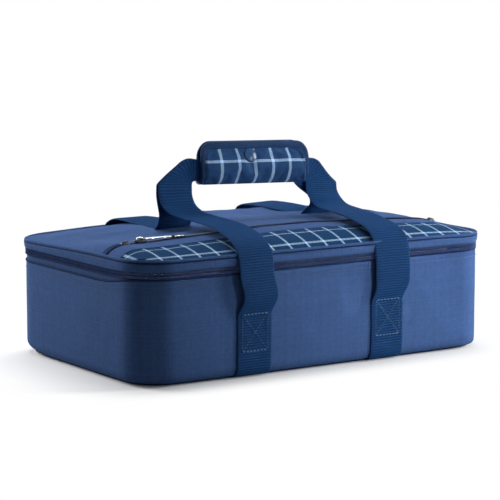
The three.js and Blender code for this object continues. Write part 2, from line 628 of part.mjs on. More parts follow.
// Snap through the wrap: domed caps on the sloping outer faces, ring and stud inside, above the straps
function turned(profile, sides) {
  const lathe = new THREE.LatheGeometry(
    profile.map(([radius, height]) => new THREE.Vector2(radius, height)), sides);
  lathe.deleteAttribute('normal');
  lathe.deleteAttribute('uv');
  const merged = mergeVertices(lathe, 1e-4);
  const place = merged.attributes.position;
  const points = Array.from({ length: place.count },
    (_, i) => new THREE.Vector3().fromBufferAttribute(place, i));
  const corners = [...merged.index.array];
  const faces = Array.from({ length: corners.length / 3 }, (_, i) => corners.slice(3 * i, 3 * i + 3))
    .filter(([i, j, k]) => i !== j && j !== k && k !== i);
  return closedSolid(points, faces);
}
const snapSides = 20;
const snapZ = gripTop - SNAP_BELOW_TOP;
const capRise = SNAP_CAP_HEIGHT;
const capProfile = [
  [0, 0], [SNAP_CAP / 2, 0], [SNAP_CAP / 2, capRise * 0.4], [SNAP_CAP / 2 * 0.8, capRise * 0.85],
  [SNAP_CAP / 2 * 0.4, capRise], [0, capRise]];
const facetLean = Math.atan2(padOut - 0.4 - padTopOut, padTop - facetLow);
const facetY = padOut - 0.4 - (snapZ - facetLow) * Math.tan(facetLean);
for (const [name, group, ySign] of [['snap_cap', flap, -1], ['snap_post', rearHandle, 1]]) {
  const piece = addPiece(group, name, turned(capProfile, snapSides), cap);
  piece.rotation.x = ySign > 0 ? facetLean : Math.PI - facetLean;
  piece.position.set(SNAP_X, ySign * (facetY + FIT_GAP / Math.cos(facetLean)), snapZ);
}
const ringOut = pocketHalf - FIT_GAP;
const ringIn = HANDLE_PARTING / 2;
const nubRadius = SNAP_NUB / 2;
const socketProfile = [
  [nubRadius + FIT_GAP, -ringOut], [SNAP_RING / 2, -ringOut], [SNAP_RING / 2, -ringIn],
  [nubRadius + FIT_GAP, -ringIn], [nubRadius + FIT_GAP, -ringOut]];
const studProfile = [
  [0, -ringOut + FIT_GAP], [nubRadius, -ringOut + FIT_GAP], [nubRadius, ringIn],
  [SNAP_RING / 2, ringIn], [SNAP_RING / 2, ringOut], [0, ringOut]];
addPiece(flap, 'snap_socket', turned(socketProfile, snapSides), silver).position.set(SNAP_X, 0, snapZ);
addPiece(rearHandle, 'snap_stud', turned(studProfile, snapSides), silver).position.set(SNAP_X, 0, snapZ);

export default carrier;
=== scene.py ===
import math

import bmesh
import bpy
import numpy as np
from mathutils import Matrix, Vector, noise


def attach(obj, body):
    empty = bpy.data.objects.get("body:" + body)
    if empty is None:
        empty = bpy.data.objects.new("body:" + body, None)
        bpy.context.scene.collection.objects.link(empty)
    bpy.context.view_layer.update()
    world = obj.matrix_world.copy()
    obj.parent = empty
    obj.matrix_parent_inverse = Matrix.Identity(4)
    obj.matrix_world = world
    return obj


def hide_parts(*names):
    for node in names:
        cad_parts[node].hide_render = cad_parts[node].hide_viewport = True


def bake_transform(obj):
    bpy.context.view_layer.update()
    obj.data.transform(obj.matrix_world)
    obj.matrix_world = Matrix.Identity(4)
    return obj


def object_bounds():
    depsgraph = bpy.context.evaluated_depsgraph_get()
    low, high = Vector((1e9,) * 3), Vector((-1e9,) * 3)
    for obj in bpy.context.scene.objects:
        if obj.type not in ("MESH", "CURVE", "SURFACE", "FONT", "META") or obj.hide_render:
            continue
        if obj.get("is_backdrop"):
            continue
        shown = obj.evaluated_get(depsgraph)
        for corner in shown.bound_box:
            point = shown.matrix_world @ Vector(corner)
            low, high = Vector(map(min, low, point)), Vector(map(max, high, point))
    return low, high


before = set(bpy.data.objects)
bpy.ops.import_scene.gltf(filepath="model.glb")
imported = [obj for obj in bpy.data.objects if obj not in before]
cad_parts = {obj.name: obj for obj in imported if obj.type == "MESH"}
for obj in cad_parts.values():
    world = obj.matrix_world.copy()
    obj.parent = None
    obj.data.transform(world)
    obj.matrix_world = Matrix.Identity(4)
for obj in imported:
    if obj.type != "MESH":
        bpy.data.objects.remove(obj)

cad_low, cad_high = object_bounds()
scene = bpy.context.scene
scene.view_settings.view_transform = "Standard"


# Camera: a long lens, low and to the left of the front, where the carrier shows its front, its
# left end and a strip of its lid.
def add(name, data):
    """A new object in the scene."""
    made = bpy.data.objects.new(name, data)
    scene.collection.objects.link(made)
    return made


scene.camera = camera = add("camera", bpy.data.cameras.new("camera"))
camera.data.lens, camera.data.sensor_width = 158.4, 36
camera.data.clip_end = 50
camera.location = (-1.206356, -1.815261, 0.410082)
camera.rotation_mode = "QUATERNION"
line_of_sight = Vector((0.54694663, 0.82515333, -0.14132009))
camera.rotation_quaternion = line_of_sight.to_track_quat("-Z", "Y")


# Studio: a white sweep under soft boxes. A tall one on the right rakes along the front, a small one
# with a grid lights the right of the front, one stands at the left end, one hangs above the lid, and
# a very small one is aimed at the snap. The paper is white but for the shade close to the base.
def operator(operation):
    """An operator's plain and reflected forms, which add a Math node."""
    return (lambda wire, other: wire.math(operation, wire, other),
            lambda wire, other: wire.math(operation, other, wire))


class Wire:
    """An output in a node tree. Arithmetic on it adds Math nodes, and node() adds any other node."""

    def __init__(self, tree, socket=None):
        self.tree, self.socket = tree, socket

    def node(self, kind, inputs=None, settings=None, output=0):
        made = self.tree.nodes.new("ShaderNode" + kind)
        for name, value in (settings or {}).items():
            setattr(made, name, value)
        for name, value in (inputs or {}).items():
            if isinstance(value, Wire):
                value.into(made, name)
            else:
                made.inputs[name].default_value = value
        return Wire(self.tree, made.outputs[output])

    def math(self, operation, *values):
        return self.node("Math", dict(enumerate(values)), {"operation": operation})

    def mix(self, low, high):
        return self.node("Mix", {0: self, 6: low, 7: high}, {"data_type": "RGBA"}, 2)

    def into(self, shader, name):
        self.tree.links.new(self.socket, shader.inputs[name])

    __add__, __radd__ = operator("ADD")
    __sub__, __rsub__ = operator("SUBTRACT")
    __mul__, __rmul__ = operator("MULTIPLY")
    __truediv__ = operator("DIVIDE")[0]
    __mod__ = operator("FLOORED_MODULO")[0]
    __lt__ = operator("LESS_THAN")[0]
    __gt__ = operator("GREATER_THAN")[0]

    def __abs__(self):
        return self.math("ABSOLUTE", self)


def finish(name, specular, slot=None, **fixed):
    """A material with what is the same all over it, and its wire and its shader. The slot is not used."""
    material = bpy.data.materials.new(name)
    material.use_nodes = True
    shader = material.node_tree.nodes["Principled BSDF"]
    for socket, value in {"Specular_IOR_Level": specular, **fixed}.items():
        shader.inputs[socket.replace("_", " ")].default_value = value
    return material, Wire(material.node_tree), shader


def shows_white(wire):
    """1 for rays that look at the studio itself, straight, in a reflection or through something clear."""
    seen = [wire.node("LightPath", output=f"Is {ray} Ray") for ray in ("Camera", "Glossy", "Transmission")]
    return wire.math("MAXIMUM", seen[0], wire.math("MAXIMUM", seen[1], seen[2]))


scene.world = world = bpy.data.worlds.new("studio")
world.use_nodes = True
sky = Wire(world.node_tree)
ambient = sky.node("Background", {0: (0.9, 0.95, 1, 1), 1: 0.08})
white = sky.node("Background", {0: (1, 1, 1, 1), 1: 1})
both = sky.node("MixShader", {0: shows_white(sky), 1: ambient, 2: white})
both.into(world.node_tree.nodes["World Output"], "Surface")

FLOOR_LEVEL = -0.0003
floor_corners = [(x, y, FLOOR_LEVEL) for x, y in ((-9, -9), (9, -9), (9, 9), (-9, 9))]
floor_mesh = bpy.data.meshes.new("floor")
floor_mesh.from_pydata(floor_corners, [], [(0, 1, 2, 3)])
floor = add("floor", floor_mesh)
paper, wire, shader = finish("white_paper", 0.1, Base_Color=(0.88, 0.88, 0.88, 1), Roughness=0.9)
shade_middle, shade_corner, origin = (-0.03, 0.03, 0), (0.166, 0.087, 1), (0, 0, 0)
past = wire.node("TexCoord", output="Object")
steps = (("SUBTRACT", shade_middle), ("ABSOLUTE", origin), ("SUBTRACT", shade_corner), ("MAXIMUM", origin))
for step, value in steps:
    past = wire.node("VectorMath", {0: past, 1: value}, {"operation": step})
away = wire.node("VectorMath", {0: past}, {"operation": "LENGTH"}, "Value")
open_floor = wire.node("MapRange", {0: away, 1: 0.06, 2: 0.118}, {"interpolation_type": "SMOOTHSTEP"})
glow = wire.node("Emission", {0: (1, 1, 1, 1), 1: 0.04})
pure = wire.node("Emission", {0: (1, 1, 1, 1), 1: 1})
near = wire.node("AddShader", {0: Wire(wire.tree, shader.outputs[0]), 1: glow})
seen = wire.node("MixShader", {0: open_floor, 1: near, 2: pure})
dull = wire.node("BsdfDiffuse", {0: (0.4, 0.4, 0.4, 1)})
surface = wire.node("MixShader", {0: shows_white(wire), 1: dull, 2: seen})
surface.into(paper.node_tree.nodes["Material Output"], "Surface")
floor_mesh.materials.append(paper)
floor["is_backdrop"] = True

for name, place, aim, size, beam, power in (
        ("right_box", (0.95, -0.48, 0.36), (0.04, -0.125, 0.07), (0.3, 0.7), 180, 12.5),
        ("front_box", (0.62, -1.15, 0.34), (0.11, -0.125, 0.08), (0.2, 0.2), 26, 0.28),
        ("glint", (-0.18, -1.22, 0.855), (-0.009, -0.012, 0.192), (0.09, 0.09), 7, 0.012),
        ("left_box", (-0.66, 0.9, 0.5), (-0.22, 0, 0.06), (0.5, 0.8), 180, 15),
        ("top_box", (0.1, 0.32, 1.3), (0, -0.02, 0.1), (0.9, 0.7), 180, 11)):
    lamp = add(name, bpy.data.lights.new(name, "AREA"))
    lamp.data.shape, lamp.data.energy = "RECTANGLE", power
    lamp.data.size, lamp.data.size_y = size
    lamp.data.spread = math.radians(beam)
    lamp.location = place
    lamp.rotation_euler = (Vector(aim) - Vector(place)).to_track_quat("-Z", "Y").to_euler()


# Base panel: the underside, a sheet of the same navy polyester as the walls, cut to the rounded
# plan and sewn to them inside the base piping.
LENGTH, WIDTH, CORNER = 408, 250, 38
YARN = 0.9


def texture(wire, kind, scale, settings=None, **more):
    """A pattern laid out in the piece's own coordinates."""
    place = wire.node("TexCoord", output="Object")
    return wire.node(kind, {"Vector": place, "Scale": scale, **more}, settings)


def clouds(wire, scale, detail, **more):
    """Soft noise."""
    return texture(wire, "TexNoise", scale, Detail=detail, **more)


def relief(shader, strength, depth, height):
    """Fine relief from a height pattern."""
    bump = height.node("Bump", {"Strength": strength, "Distance": depth, "Height": height})
    bump.into(shader, "Normal")


def cloth_ways(wire):
    """Running millimetres along and across the cloth."""
    run = wire.node("UVMap", None, {"uv_map": "cloth"})
    return [wire.node("SeparateXYZ", {0: run}, None, way) for way in (0, 1)]


def threads(wire, pitch):
    """The cloth's two ways, which thread lies on top, and the height of the weave."""
    warp, weft = cloth_ways(wire)
    over = (warp.math("FLOOR", warp / pitch) + weft.math("FLOOR", weft / pitch)) % 2
    ridge, furrow = (abs(way.math("SINE", way * (math.pi / pitch))) for way in (warp, weft))
    return warp, weft, over, over * ridge + (1 - over) * furrow


def cloth_colour(wire, shader, colour, weave, uneven, rough):
    """A weave's colour, dullness and relief. Each thread differs a little, patches are rubbed paler, and the
    yarns' tops are painted lighter and the furrows darker: painted shade.
    """
    warp, weft, over, height = weave
    patches = clouds(wire, 26, 4)
    fleck = clouds(wire, 300, 2)
    dye = [wire.node("TexWhiteNoise", {"W": way.math("FLOOR", way / YARN)}, {"noise_dimensions": "1D"})
           for way in (warp, weft)]
    yarn = over * dye[0] + (1 - over) * dye[1]
    blotch = patches - 0.5 + (fleck - 0.5) * 2.6 + (yarn - 0.5) * 1.3
    # The height term paints the yarns' tops lighter and the furrows between them darker: painted shade.
    shade = 1 + blotch * uneven + (height - 0.62) * 0.22
    tinted = wire.node("VectorMath", {0: colour, "Scale": shade}, {"operation": "SCALE"})
    tinted.into(shader, "Base Color")
    (rough + (patches - 0.5) * 0.16 - (height - 0.5) * 0.1).into(shader, "Roughness")
    relief(shader, 0.5, 0.00016, height + fleck * 0.3)


def woven(name, colour, pitch=YARN, rough=0.72, uneven=0.14, slot=None):
    """Plain weave of polyester yarn."""
    material, wire, shader = finish(
        name, 0.02, slot, Sheen_Weight=0.015, Sheen_Roughness=0.45, Sheen_Tint=(0.72, 0.8, 1, 1))
    cloth_colour(wire, shader, colour[:3], threads(wire, pitch), uneven, rough)
    return material


def solid(name, shape, look, body, nodes=None):
    """A piece on a body, from points in millimetres, faces and cloth coordinates. One named after a CAD
    node stands for it, or for the nodes given, and is called finished."""
    points, faces, cloth = shape
    mesh = bpy.data.meshes.new(name)
    mesh.from_pydata(points / 1000, [], faces)
    mesh.uv_layers.new(name="cloth").uv.foreach_set("vector", cloth.astype(np.float32).ravel())
    skin = bmesh.new()
    skin.from_mesh(mesh)
    bmesh.ops.recalc_face_normals(skin, faces=skin.faces)
    skin.to_mesh(mesh)
    skin.free()
    mesh.shade_smooth()
    mesh.set_sharp_from_angle(angle=math.radians(50))
    mesh.materials.append(look)
    for_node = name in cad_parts
    piece = add(f"{name}_finished" if for_node else name, mesh)
    if body:
        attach(piece, body)
    if for_node:
        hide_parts(*(nodes or [name]))
    return piece


def grid(*values):
    """Points from their coordinates, each a number or an array."""
    return np.stack(np.broadcast_arrays(*values), -1)


def slab(top, under, cloth):
    """A closed sheet between two like grids of points."""
    rows, columns = top.shape[:2]
    upper = np.arange(rows * columns).reshape(rows, columns)
    skin = np.stack([upper[:-1, :-1], upper[:-1, 1:], upper[1:, 1:], upper[1:, :-1]], -1).reshape(-1, 4)
    rim = np.concatenate([upper[0], upper[1:, -1], upper[-1, -2::-1], upper[-2:0:-1, 0]])
    low = rim + upper.size
    side = np.stack([rim, low, np.roll(low, -1), np.roll(rim, -1)], -1)
    faces = np.concatenate([skin, (skin + upper.size)[:, ::-1], side])
    points = np.concatenate([top.reshape(-1, 3), under.reshape(-1, 3)])
    return points, faces.tolist(), np.concatenate([cloth.reshape(-1, 2)] * 2)[faces.ravel()]


def layer(x, y, top, under):
    """A closed sheet over x and y between two heights."""
    return slab(grid(x, y, top), grid(x, y, under), grid(x, y))


def spread(low, high, step):
    """Values from low to high about a step apart, closer together towards both ends."""
    share = np.linspace(0, 1, round((high - low) / step) + 1)
    return low + (high - low) * (share + smooth(share, 0, 1)) / 2


def plan_grid(out, step, share_step, front=None, rear=None):
    """x and y over the rounded plan moved out, or from front to rear of it, in rows from end to end."""
    half = WIDTH / 2 + out
    rows = spread(-half if front is None else front, half if rear is None else rear, step)[:, None]
    past = np.maximum(np.abs(rows) - (WIDTH / 2 - CORNER), 0)
    half_length = LENGTH / 2 - CORNER + np.sqrt(np.maximum((CORNER + out) ** 2 - past ** 2, 0))
    return np.broadcast_arrays(half_length * spread(-1, 1, share_step), rows)


def smooth(value, low, high):
    """0 up to low, 1 from high on, easing between."""
    share = np.clip((value - low) / (high - low), 0, 1)
    return share * share * (3 - 2 * share)


def corner_lift(x, y):
    """How far the base's edge stands off the floor at the corners, mostly at the rear."""
    corner = smooth(np.minimum(np.abs(x) - 150, np.abs(y) - 80), -14, 24)
    return corner * np.where(y > 0, 3, 0.4)


navy_polyester = woven("navy_polyester", (0.042, 0.086, 0.212, 1))
x, y = plan_grid(-8.6, 6, 0.03)
lift = corner_lift(x, y)
sag = 0.26 + 0.25 * np.cos(x / 60) * np.cos(y / 45)
solid("base_panel", layer(x, y, 1 + lift, sag + lift), navy_polyester, "tub")


# Base board and foam: a stiff plastic sheet slipped into the base, and the insulating foam that
# lies on it and stands round the walls, between the outer cloth and the liner.
def dress(name, look, segments=0):
    """A CAD piece kept as it is, in its material, with its edges broken where segments are given."""
    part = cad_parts[name]
    part.data.materials.clear()
    part.data.materials.append(look)
    if segments:
        pressed = part.modifiers.new("pressed", "BEVEL")
        pressed.width, pressed.segments = 0.0003, segments


def mottle(shader, pattern, low, high, **levels):
    """A colour that follows a pattern, and levels such as the roughness that vary as well."""
    pattern.mix(low, high).into(shader, "Base Color")
    for name, level in levels.items():
        level.into(shader, name.replace("_", " "))


board, wire, shader = finish("grey_board", 0.4)
grain = clouds(wire, 900, 3)
mottle(shader, grain, (0.035, 0.036, 0.038, 1), (0.06, 0.061, 0.064, 1), Roughness=0.45 + grain * 0.2)
dress("base_board", board)

white_foam, wire, shader = finish("white_foam", 0.2, "foam")
cell_depth_and_shade = texture(wire, "TexVoronoi", 700)
# The cells' hollows, which the relief sinks, are painted darker: painted shade.
mottle(shader, cell_depth_and_shade, (0.62, 0.62, 0.6, 1), (0.82, 0.82, 0.79, 1), Roughness=0.85 + cell_depth_and_shade * 0.1)
relief(shader, 0.6, 0.0004, cell_depth_and_shade)

x, y = plan_grid(-7.4, 8, 0.04)
base_foam = solid("base_foam", layer(x, y, 7.6 - 0.5 * (y / y.max()) ** 6, 3.6), white_foam, "tub")


def stations_round(step=5):
    """Places round the tub's plan from the middle of the rear: x, y, the way out, and the run so far."""
    ends, sides = LENGTH / 2 - CORNER, WIDTH / 2 - CORNER
    centres = [(0, sides), (-ends, sides), (-ends, -sides), (ends, -sides), (ends, sides), (0, sides)]
    legs = []
    for facing, start, end in zip(range(90, 540, 90), centres, centres[1:]):
        legs.append((start, end, facing, 0, math.dist(start, end), 1))
        legs.append((end, end, facing, 90, CORNER * math.pi / 2, 1.6))
    found, run = [], 0
    for (x0, y0), (x1, y1), facing, bend, reach, dense in legs[:-1]:
        for share in np.linspace(0, 1, round(reach / step * dense), endpoint=False):
            turn = math.radians(facing + bend * share)
            nx, ny = math.cos(turn), math.sin(turn)
            x, y = x0 + (x1 - x0) * share + CORNER * nx, y0 + (y1 - y0) * share + CORNER * ny
            found.append((x, y, nx, ny, run + reach * share))
        run += reach
    return found, run


def run_along(points):
    """The run from the first point to each one."""
    return np.append(0, np.cumsum(np.linalg.norm(np.diff(points, axis=0), axis=1)))


def rings(points, run=None, over=None, closed=False):
    """A skin over rings of points, closed in a loop or capped at both ends, with its cloth coordinates."""
    count, around = points.shape[:2]
    run = np.zeros(count + 1) if run is None else np.asarray(run)
    over = np.zeros(around + 1) if over is None else over
    i, a = np.indices((count if closed else count - 1, around)).reshape(2, -1, 1)
    i, a = i + [0, 1, 1, 0], a + [0, 0, 1, 1]
    faces = (i % count * around + a % around).tolist()
    cloth = [grid(run[i], over[a]).reshape(-1, 2)]
    if not closed:
        for end in (0, count - 1):
            faces.append(list(range(end * around, (end + 1) * around)))
            cloth.append(grid(run[end], over[:around]))
    return points.reshape(-1, 3), faces, np.concatenate(cloth)


def sweep(stations, section, perimeter=None):
    """A section, which gives (out, z) points for x and y, carried along stations, or round a perimeter."""
    points = [[(x + nx * out, y + ny * out, z) for out, z in section(x, y)] for x, y, nx, ny, _ in stations]
    first = section(*stations[0][:2])
    run = [station[4] for station in stations] + [perimeter or 0]
    return rings(np.array(points, float), run, run_along(np.array(first + first[:1])), bool(perimeter))


whole_plan, perimeter = stations_round()


def sewn_round(section):
    """A section carried round the whole plan."""
    return sweep(whole_plan, section, perimeter)


foam_section = [
    (-2.6, 12.6), (-1.6, 17), (-1.4, 88.5), (-2.2, 90.5), (-5.4, 90.5), (-6.3, 88.5), (-6.3, 12), (-6.2, 9)]
wall_foam = solid("wall_foam", sewn_round(lambda x, y: foam_section), white_foam, "tub")


# Side wall: one strip of navy polyester round the tub, closed at the rear. It is turned in at the
# zipper, rolls under to the base seam, and stands a little full over its foam between the corners.
SEAM, FULL_HEIGHT = 96, 80


def wall_out(x, y, z):
    """How far the wall's cloth stands out from the plan."""
    rise = np.clip((z - 4) / 92, 0, 1)
    belly = np.sin(math.pi * rise ** 0.85) ** 0.8
    on_long_side = abs(abs(y) - WIDTH / 2) < 2
    along = 1 - min(abs(x) / 170 if on_long_side else abs(y) / 92, 1) ** 4
    ripple = noise.noise((x / 46, y / 46, z / 60)) * 0.9 + noise.noise((x / 17, y / 17, z / 38 + 9)) * 0.32
    return belly * (0.35 + 0.75 * along) + ripple * belly * 0.9


def rolled_under(x, y):
    """The wall's foot from the base seam up, lifted at the rear corners and sharp at the right front one."""
    lift = corner_lift(x, y)
    inward = 6 + 0.3 * lift
    turn_in = 1 - 0.55 * smooth(x, 140, 200) * smooth(-y, 40, 110)
    for turn in np.radians(range(0, 90, 11)):
        rise = 1 - math.cos(turn) ** turn_in
        z = 2.2 + lift * (1 - rise) + (8.8 + lift * 0.6) * rise
        yield -inward * (1 - math.sin(turn) ** turn_in) + wall_out(x, y, z) * rise, z


def left_end(x, y):
    """1 along the left end and round to the rear, where the zipper hangs lower."""
    return smooth(-x, 165, 204) * smooth(y, -112, -60)


def seam_level(x, y):
    """Height of the seam under the zipper, close to it along the front and lower at the left end."""
    return SEAM + 3.2 * (1 - smooth(y, -110, -40)) - 3.6 * left_end(x, y)


def wall_section(x, y):
    """The wall's cloth from the base seam up to the seam under the zipper, and down its inside."""
    foot, seam = list(rolled_under(x, y)), seam_level(x, y)
    stretch = (seam - FULL_HEIGHT) / (SEAM - FULL_HEIGHT)
    levels = [15, 18, 22, 28, 34, 40, 46, 52, 58, 64, 70, 75, 80, 84, 87, 90, 92, 93.5]
    outside = [(wall_out(x, y, z), min(z, FULL_HEIGHT) + max(z - FULL_HEIGHT, 0) * stretch) for z in levels]
    turned_in = [(0.05, seam - 1.4), (-0.25, seam - 0.5), (-0.9, seam)]
    inside = [(-1.25, seam - 0.4), (-1.25, 60), (-1.25, 30)]
    foot_inside = [(out - 0.9, z + 0.5) for out, z in foot[::-2]]
    return foot + outside + turned_in + inside + foot_inside


solid("side_wall", sewn_round(wall_section), navy_polyester, "tub")


# Base piping: a thin cord in a bias strip of darker navy cloth, sewn into the seam between the
# walls and the base panel, where it lies tucked under the roll of the wall.
# The same dark cloth makes the thin strips at the zipper seam, the lid seam and the pocket zipper's ends,
# which are painted shade.
dark_trim = woven("dark_trim", (0.01, 0.022, 0.068, 1), pitch=0.7, rough=0.68, uneven=0.16)


def cord_section(out, z, width):
    """A piping cord's round section with the flat seam edge behind it."""
    ring = [(out + width / 2 * math.cos(turn), z + width / 2 * math.sin(turn))
            for turn in np.radians(np.linspace(-150, 150, 14))]
    return ring + [(out - width * 0.75, z + width * 0.2), (out - width * 0.75, z - width * 0.2)]


base_cord = sewn_round(lambda x, y: cord_section(-7, 1.6 + corner_lift(x, y), 2.4))
solid("base_piping", base_cord, dark_trim, "tub")


# Tub liner: silvery foil film over the foam, one bag with a floor and four walls, its rim turned
# out under the zipper tape.
silver_foil, wire, shader = finish("silver_foil", 0.6, "foil_liner", Coat_Roughness=0.3)
broad = clouds(wire, 38, 3, Distortion=0.6)
sharp = texture(wire, "TexVoronoi", 85, {"feature": "DISTANCE_TO_EDGE"})
crease_depth_and_shade = sharp.math("MINIMUM", sharp * 4, 1)
# The crease lines, which the relief sinks, are painted darker as well: painted shade.
mottle(shader, broad * 0.8 + crease_depth_and_shade * 0.2, (0.5, 0.51, 0.53, 1), (0.74, 0.75, 0.77, 1),
       Metallic=0.72 + broad * 0.2, Roughness=0.28 + broad * 0.22)
relief(shader, 0.7, 0.0012, broad + crease_depth_and_shade * 0.22)


def ripples(x, y, x_scale, y_scale, seed):
    """Soft uneven waves over a grid."""
    return np.vectorize(lambda a, b: noise.noise((a / x_scale, b / y_scale, seed)))(x, y)


liner_wall = [
    (-2.4, 91.4), (-6, 91.45), (-6.9, 90.8), (-7.15, 88), (-7.4, 70), (-7.7, 50), (-7.5, 30), (-7.2, 14),
    (-7.7, 10.6), (-9.2, 9.2), (-12, 8.75), (-12, 8.3), (-8.8, 8.4), (-6.9, 10.2), (-6.65, 14), (-6.65, 50),
    (-6.65, 90.3), (-5.8, 90.95), (-2.4, 91)]
solid("tub_liner", sewn_round(lambda x, y: liner_wall), silver_foil, "tub")
x, y = plan_grid(-11.6, 6, 0.03)
flat_rim = (1 - (y / y.max()) ** 6) * (1 - (x / x.max(1, keepdims=True)) ** 8)
top = 9 + 0.9 * ripples(x, y, 40, 40, 3) * flat_rim
solid("liner_floor", layer(x, y, top, top - 0.5), silver_foil, "tub")


# Main zipper: two woven tapes, each with a nylon coil along its edge. The lower one is sewn into
# the top of the wall, the upper one into the lid's band, and they part at the rear.
REAR_END = LENGTH / 2 - CORNER - 55
zip_plan = [s for s in stations_round(4)[0] if not (s[1] > WIDTH / 2 - 1 and abs(s[0]) < REAR_END - 1)]
zip_tape = woven("zip_tape", (0.036, 0.074, 0.18, 1), pitch=0.7, rough=0.8, uneven=0.2)


def coil_nylon(name, dull, rubbed):
    """Moulded nylon of a zipper's coil, rubbed paler in places."""
    material, wire, shader = finish(name, 0.12, "zip_coil")
    worn = clouds(wire, 120, 2)
    mottle(shader, worn, dull, rubbed, Roughness=0.38 + worn * 0.2)
    return material


zip_coil = coil_nylon("zip_coil", (0.045, 0.08, 0.205, 1), (0.085, 0.122, 0.265, 1))


def joined(*shapes):
    """Several shapes as the parts of one piece."""
    faces, start = [], 0
    for points, sides, _ in shapes:
        faces += [[i + start for i in side] for side in sides]
        start += len(points)
    return np.concatenate([s[0] for s in shapes]), faces, np.concatenate([s[2] for s in shapes])


def teeth(stations, pitch, start, low, high, depth, width):
    """A coil's turns as small rounded bars across the zipper's edge, at an even pitch along stations."""
    line = np.array(stations)
    places = np.arange(line[0, 4] + start, line[-1, 4], pitch)
    x, y, nx, ny = (np.interp(places, line[:, 4], line[:, k])[:, None, None] for k in range(4))
    rise, girth = np.array([(0, 0.55), (0.2, 1), (0.8, 1), (1, 0.55)]).T[:, :, None]
    turn = np.radians(60 * np.arange(6) + 30)
    along = width / 2 * np.cos(turn) * girth
    out = depth[0] + (depth[1] - depth[0]) * (0.5 + 0.5 * np.sin(turn) * girth)
    bars = grid(x + nx * out - ny * along, y + ny * out + nx * along, low + (high - low) * rise)
    return joined(*(rings(bar) for bar in bars))


# A thin dark strip along the seam under the lower tape stands for the shade in the seam's groove: painted
# shade.
seam_shade_strip = sewn_round(lambda x, y: cord_section(-0.15, seam_level(x, y) + 0.45, 1.9))
solid("wall_seam_shade_strip", seam_shade_strip, dark_trim, "tub")
for side, (low, high), coil, body, start in (
        ("lower", (91, 102.4), (100.5, 103.4), "tub", 0),
        ("upper", (104.8, 107.4), (103.8, 106.7), "lid", 0.8)):
    tape = [(-1, low), (-0.7, (low + high) / 2), (-0.6, high), (-1.1, high), (-1.5, low)]
    solid(f"{side}_zip_tape", sweep(zip_plan, lambda x, y: tape), zip_tape, body)
    points, faces, cloth = teeth(zip_plan, 1.6, start, *coil, (-0.8, 0.95), 1.35)
    points[:, 2] -= 1.5 * left_end(points[:, 0], points[:, 1])
    solid(f"{side}_zip_coil", (points, faces, cloth), zip_coil, body)


# Rear hinge panel: a strip of navy polyester between the two ends of the zipper, sewn to the wall
# and to the lid's band. A pressed stop ends each side of the zipper.
x, z = np.meshgrid(np.linspace(-REAR_END + 6, REAR_END - 6, 43), np.linspace(91, 107.4, 15))
bow = (0.5 + 0.12 * np.sin(x / 7)) * np.sin(math.pi * np.clip((z - 95) / 12, 0, 1))
strip = slab(grid(x, 123.75 + bow, z), grid(x, 123.15 + bow, z), grid(x, z))
hinge = solid("rear_hinge_panel", strip, navy_polyester, None)
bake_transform(hinge)

gunmetal, wire, shader = finish("gunmetal", 0.4)
scuff = clouds(wire, 650, 4)
bare = wire.node("Clamp", {0: (scuff - 0.6) * 5})
mottle(shader, bare, (0.02, 0.026, 0.036, 1), (0.11, 0.115, 0.125, 1),
       Metallic=0.8 + bare * 0.2, Roughness=0.3 + scuff * 0.2)
for side in ("left", "right"):
    dress(f"zip_stop_{side}", gunmetal, 2)


# Lid band and piping: a strip of navy polyester that hems the upper tape and rolls over its lower
# edge, with a covered cord above it in the seam that closes the lid.
def droop(x, y):
    """How far the lid's seam hangs below its level, at the right end and towards the rear on the left."""
    return -1.7 * smooth(x, 110, 200) - 3.4 * smooth(y, -50, 112) * smooth(-x, 90, 200)


def band_section(x, y):
    """The band's cloth, a little full. Its upper edge follows the seam, its lower one hangs on the left."""
    full = 0.22 * noise.noise((x / 30, y / 30, 5))
    front = [(1.5, 107.4), (1.8, 108.6), (1.9, 110), (2.1, 111.8), (2.2, 113.2), (1.9, 114.3)]
    section = [(-1, 107.6), (0.3, 106.75), (1, 106.8)] + [(out + full, z) for out, z in front]
    section += [(1.1, 114.8), (0.4, 114.6), (0.2, 111), (-1, 108.6)]
    drop, hang = droop(x, y) / 8, 1.3 * left_end(x, y) / 2.2
    return [(out, z + drop * max(z - 106.8, 0) - hang * max(109 - z, 0)) for out, z in section]


solid("lid_band", sewn_round(band_section), navy_polyester, "lid")
# The first is a thin dark strip in the groove between the band and the piping, painted shade; the second is
# the covered cord.
for name, out, z, width, look in (
        ("lid_seam_shade_strip", 1.3, 115.15, 1.7, dark_trim),
        ("lid_piping", 0.55, 116.7, 2.7, navy_polyester)):
    solid(name, sewn_round(lambda x, y: cord_section(out, z + droop(x, y), width)), look, "lid")


# Lid layers: the foil film inside, the foam over it and the pocket's lining, all cut to the lid's
# rounded plan and domed with it.
LID_SEAM, LID_RISE, LID_END, LID_HALF = 115.8, 15.5, 203.5, WIDTH / 2 - 0.5


def lid_top(x, y):
    """The lid's outer surface: a pillow, steep at its seam, lower at its ends and settled on the left."""
    rear = smooth(y, -20, 90)
    start = 177.5 - 9 * rear
    past = np.where(x > 0, np.clip((x - 156) / (LID_END - 156), 0, 1) ** 1.7,
                    np.clip((-x - start) / (LID_END - start), 0, 1) ** (3 - 0.7 * rear))
    fall = np.where(x > 0, 0.31, 0.39) * np.clip((np.abs(x) - 30) / 130, 0, 1) ** 0.9
    settled = 0.26 * smooth(y, -46, 10) * smooth(-x, 36, 80)
    arch = 1 - np.minimum(np.abs(y) / LID_HALF, 1) ** 5.5
    return LID_SEAM + droop(x, y) + LID_RISE * (1 - fall - settled) * (1 - past) * arch


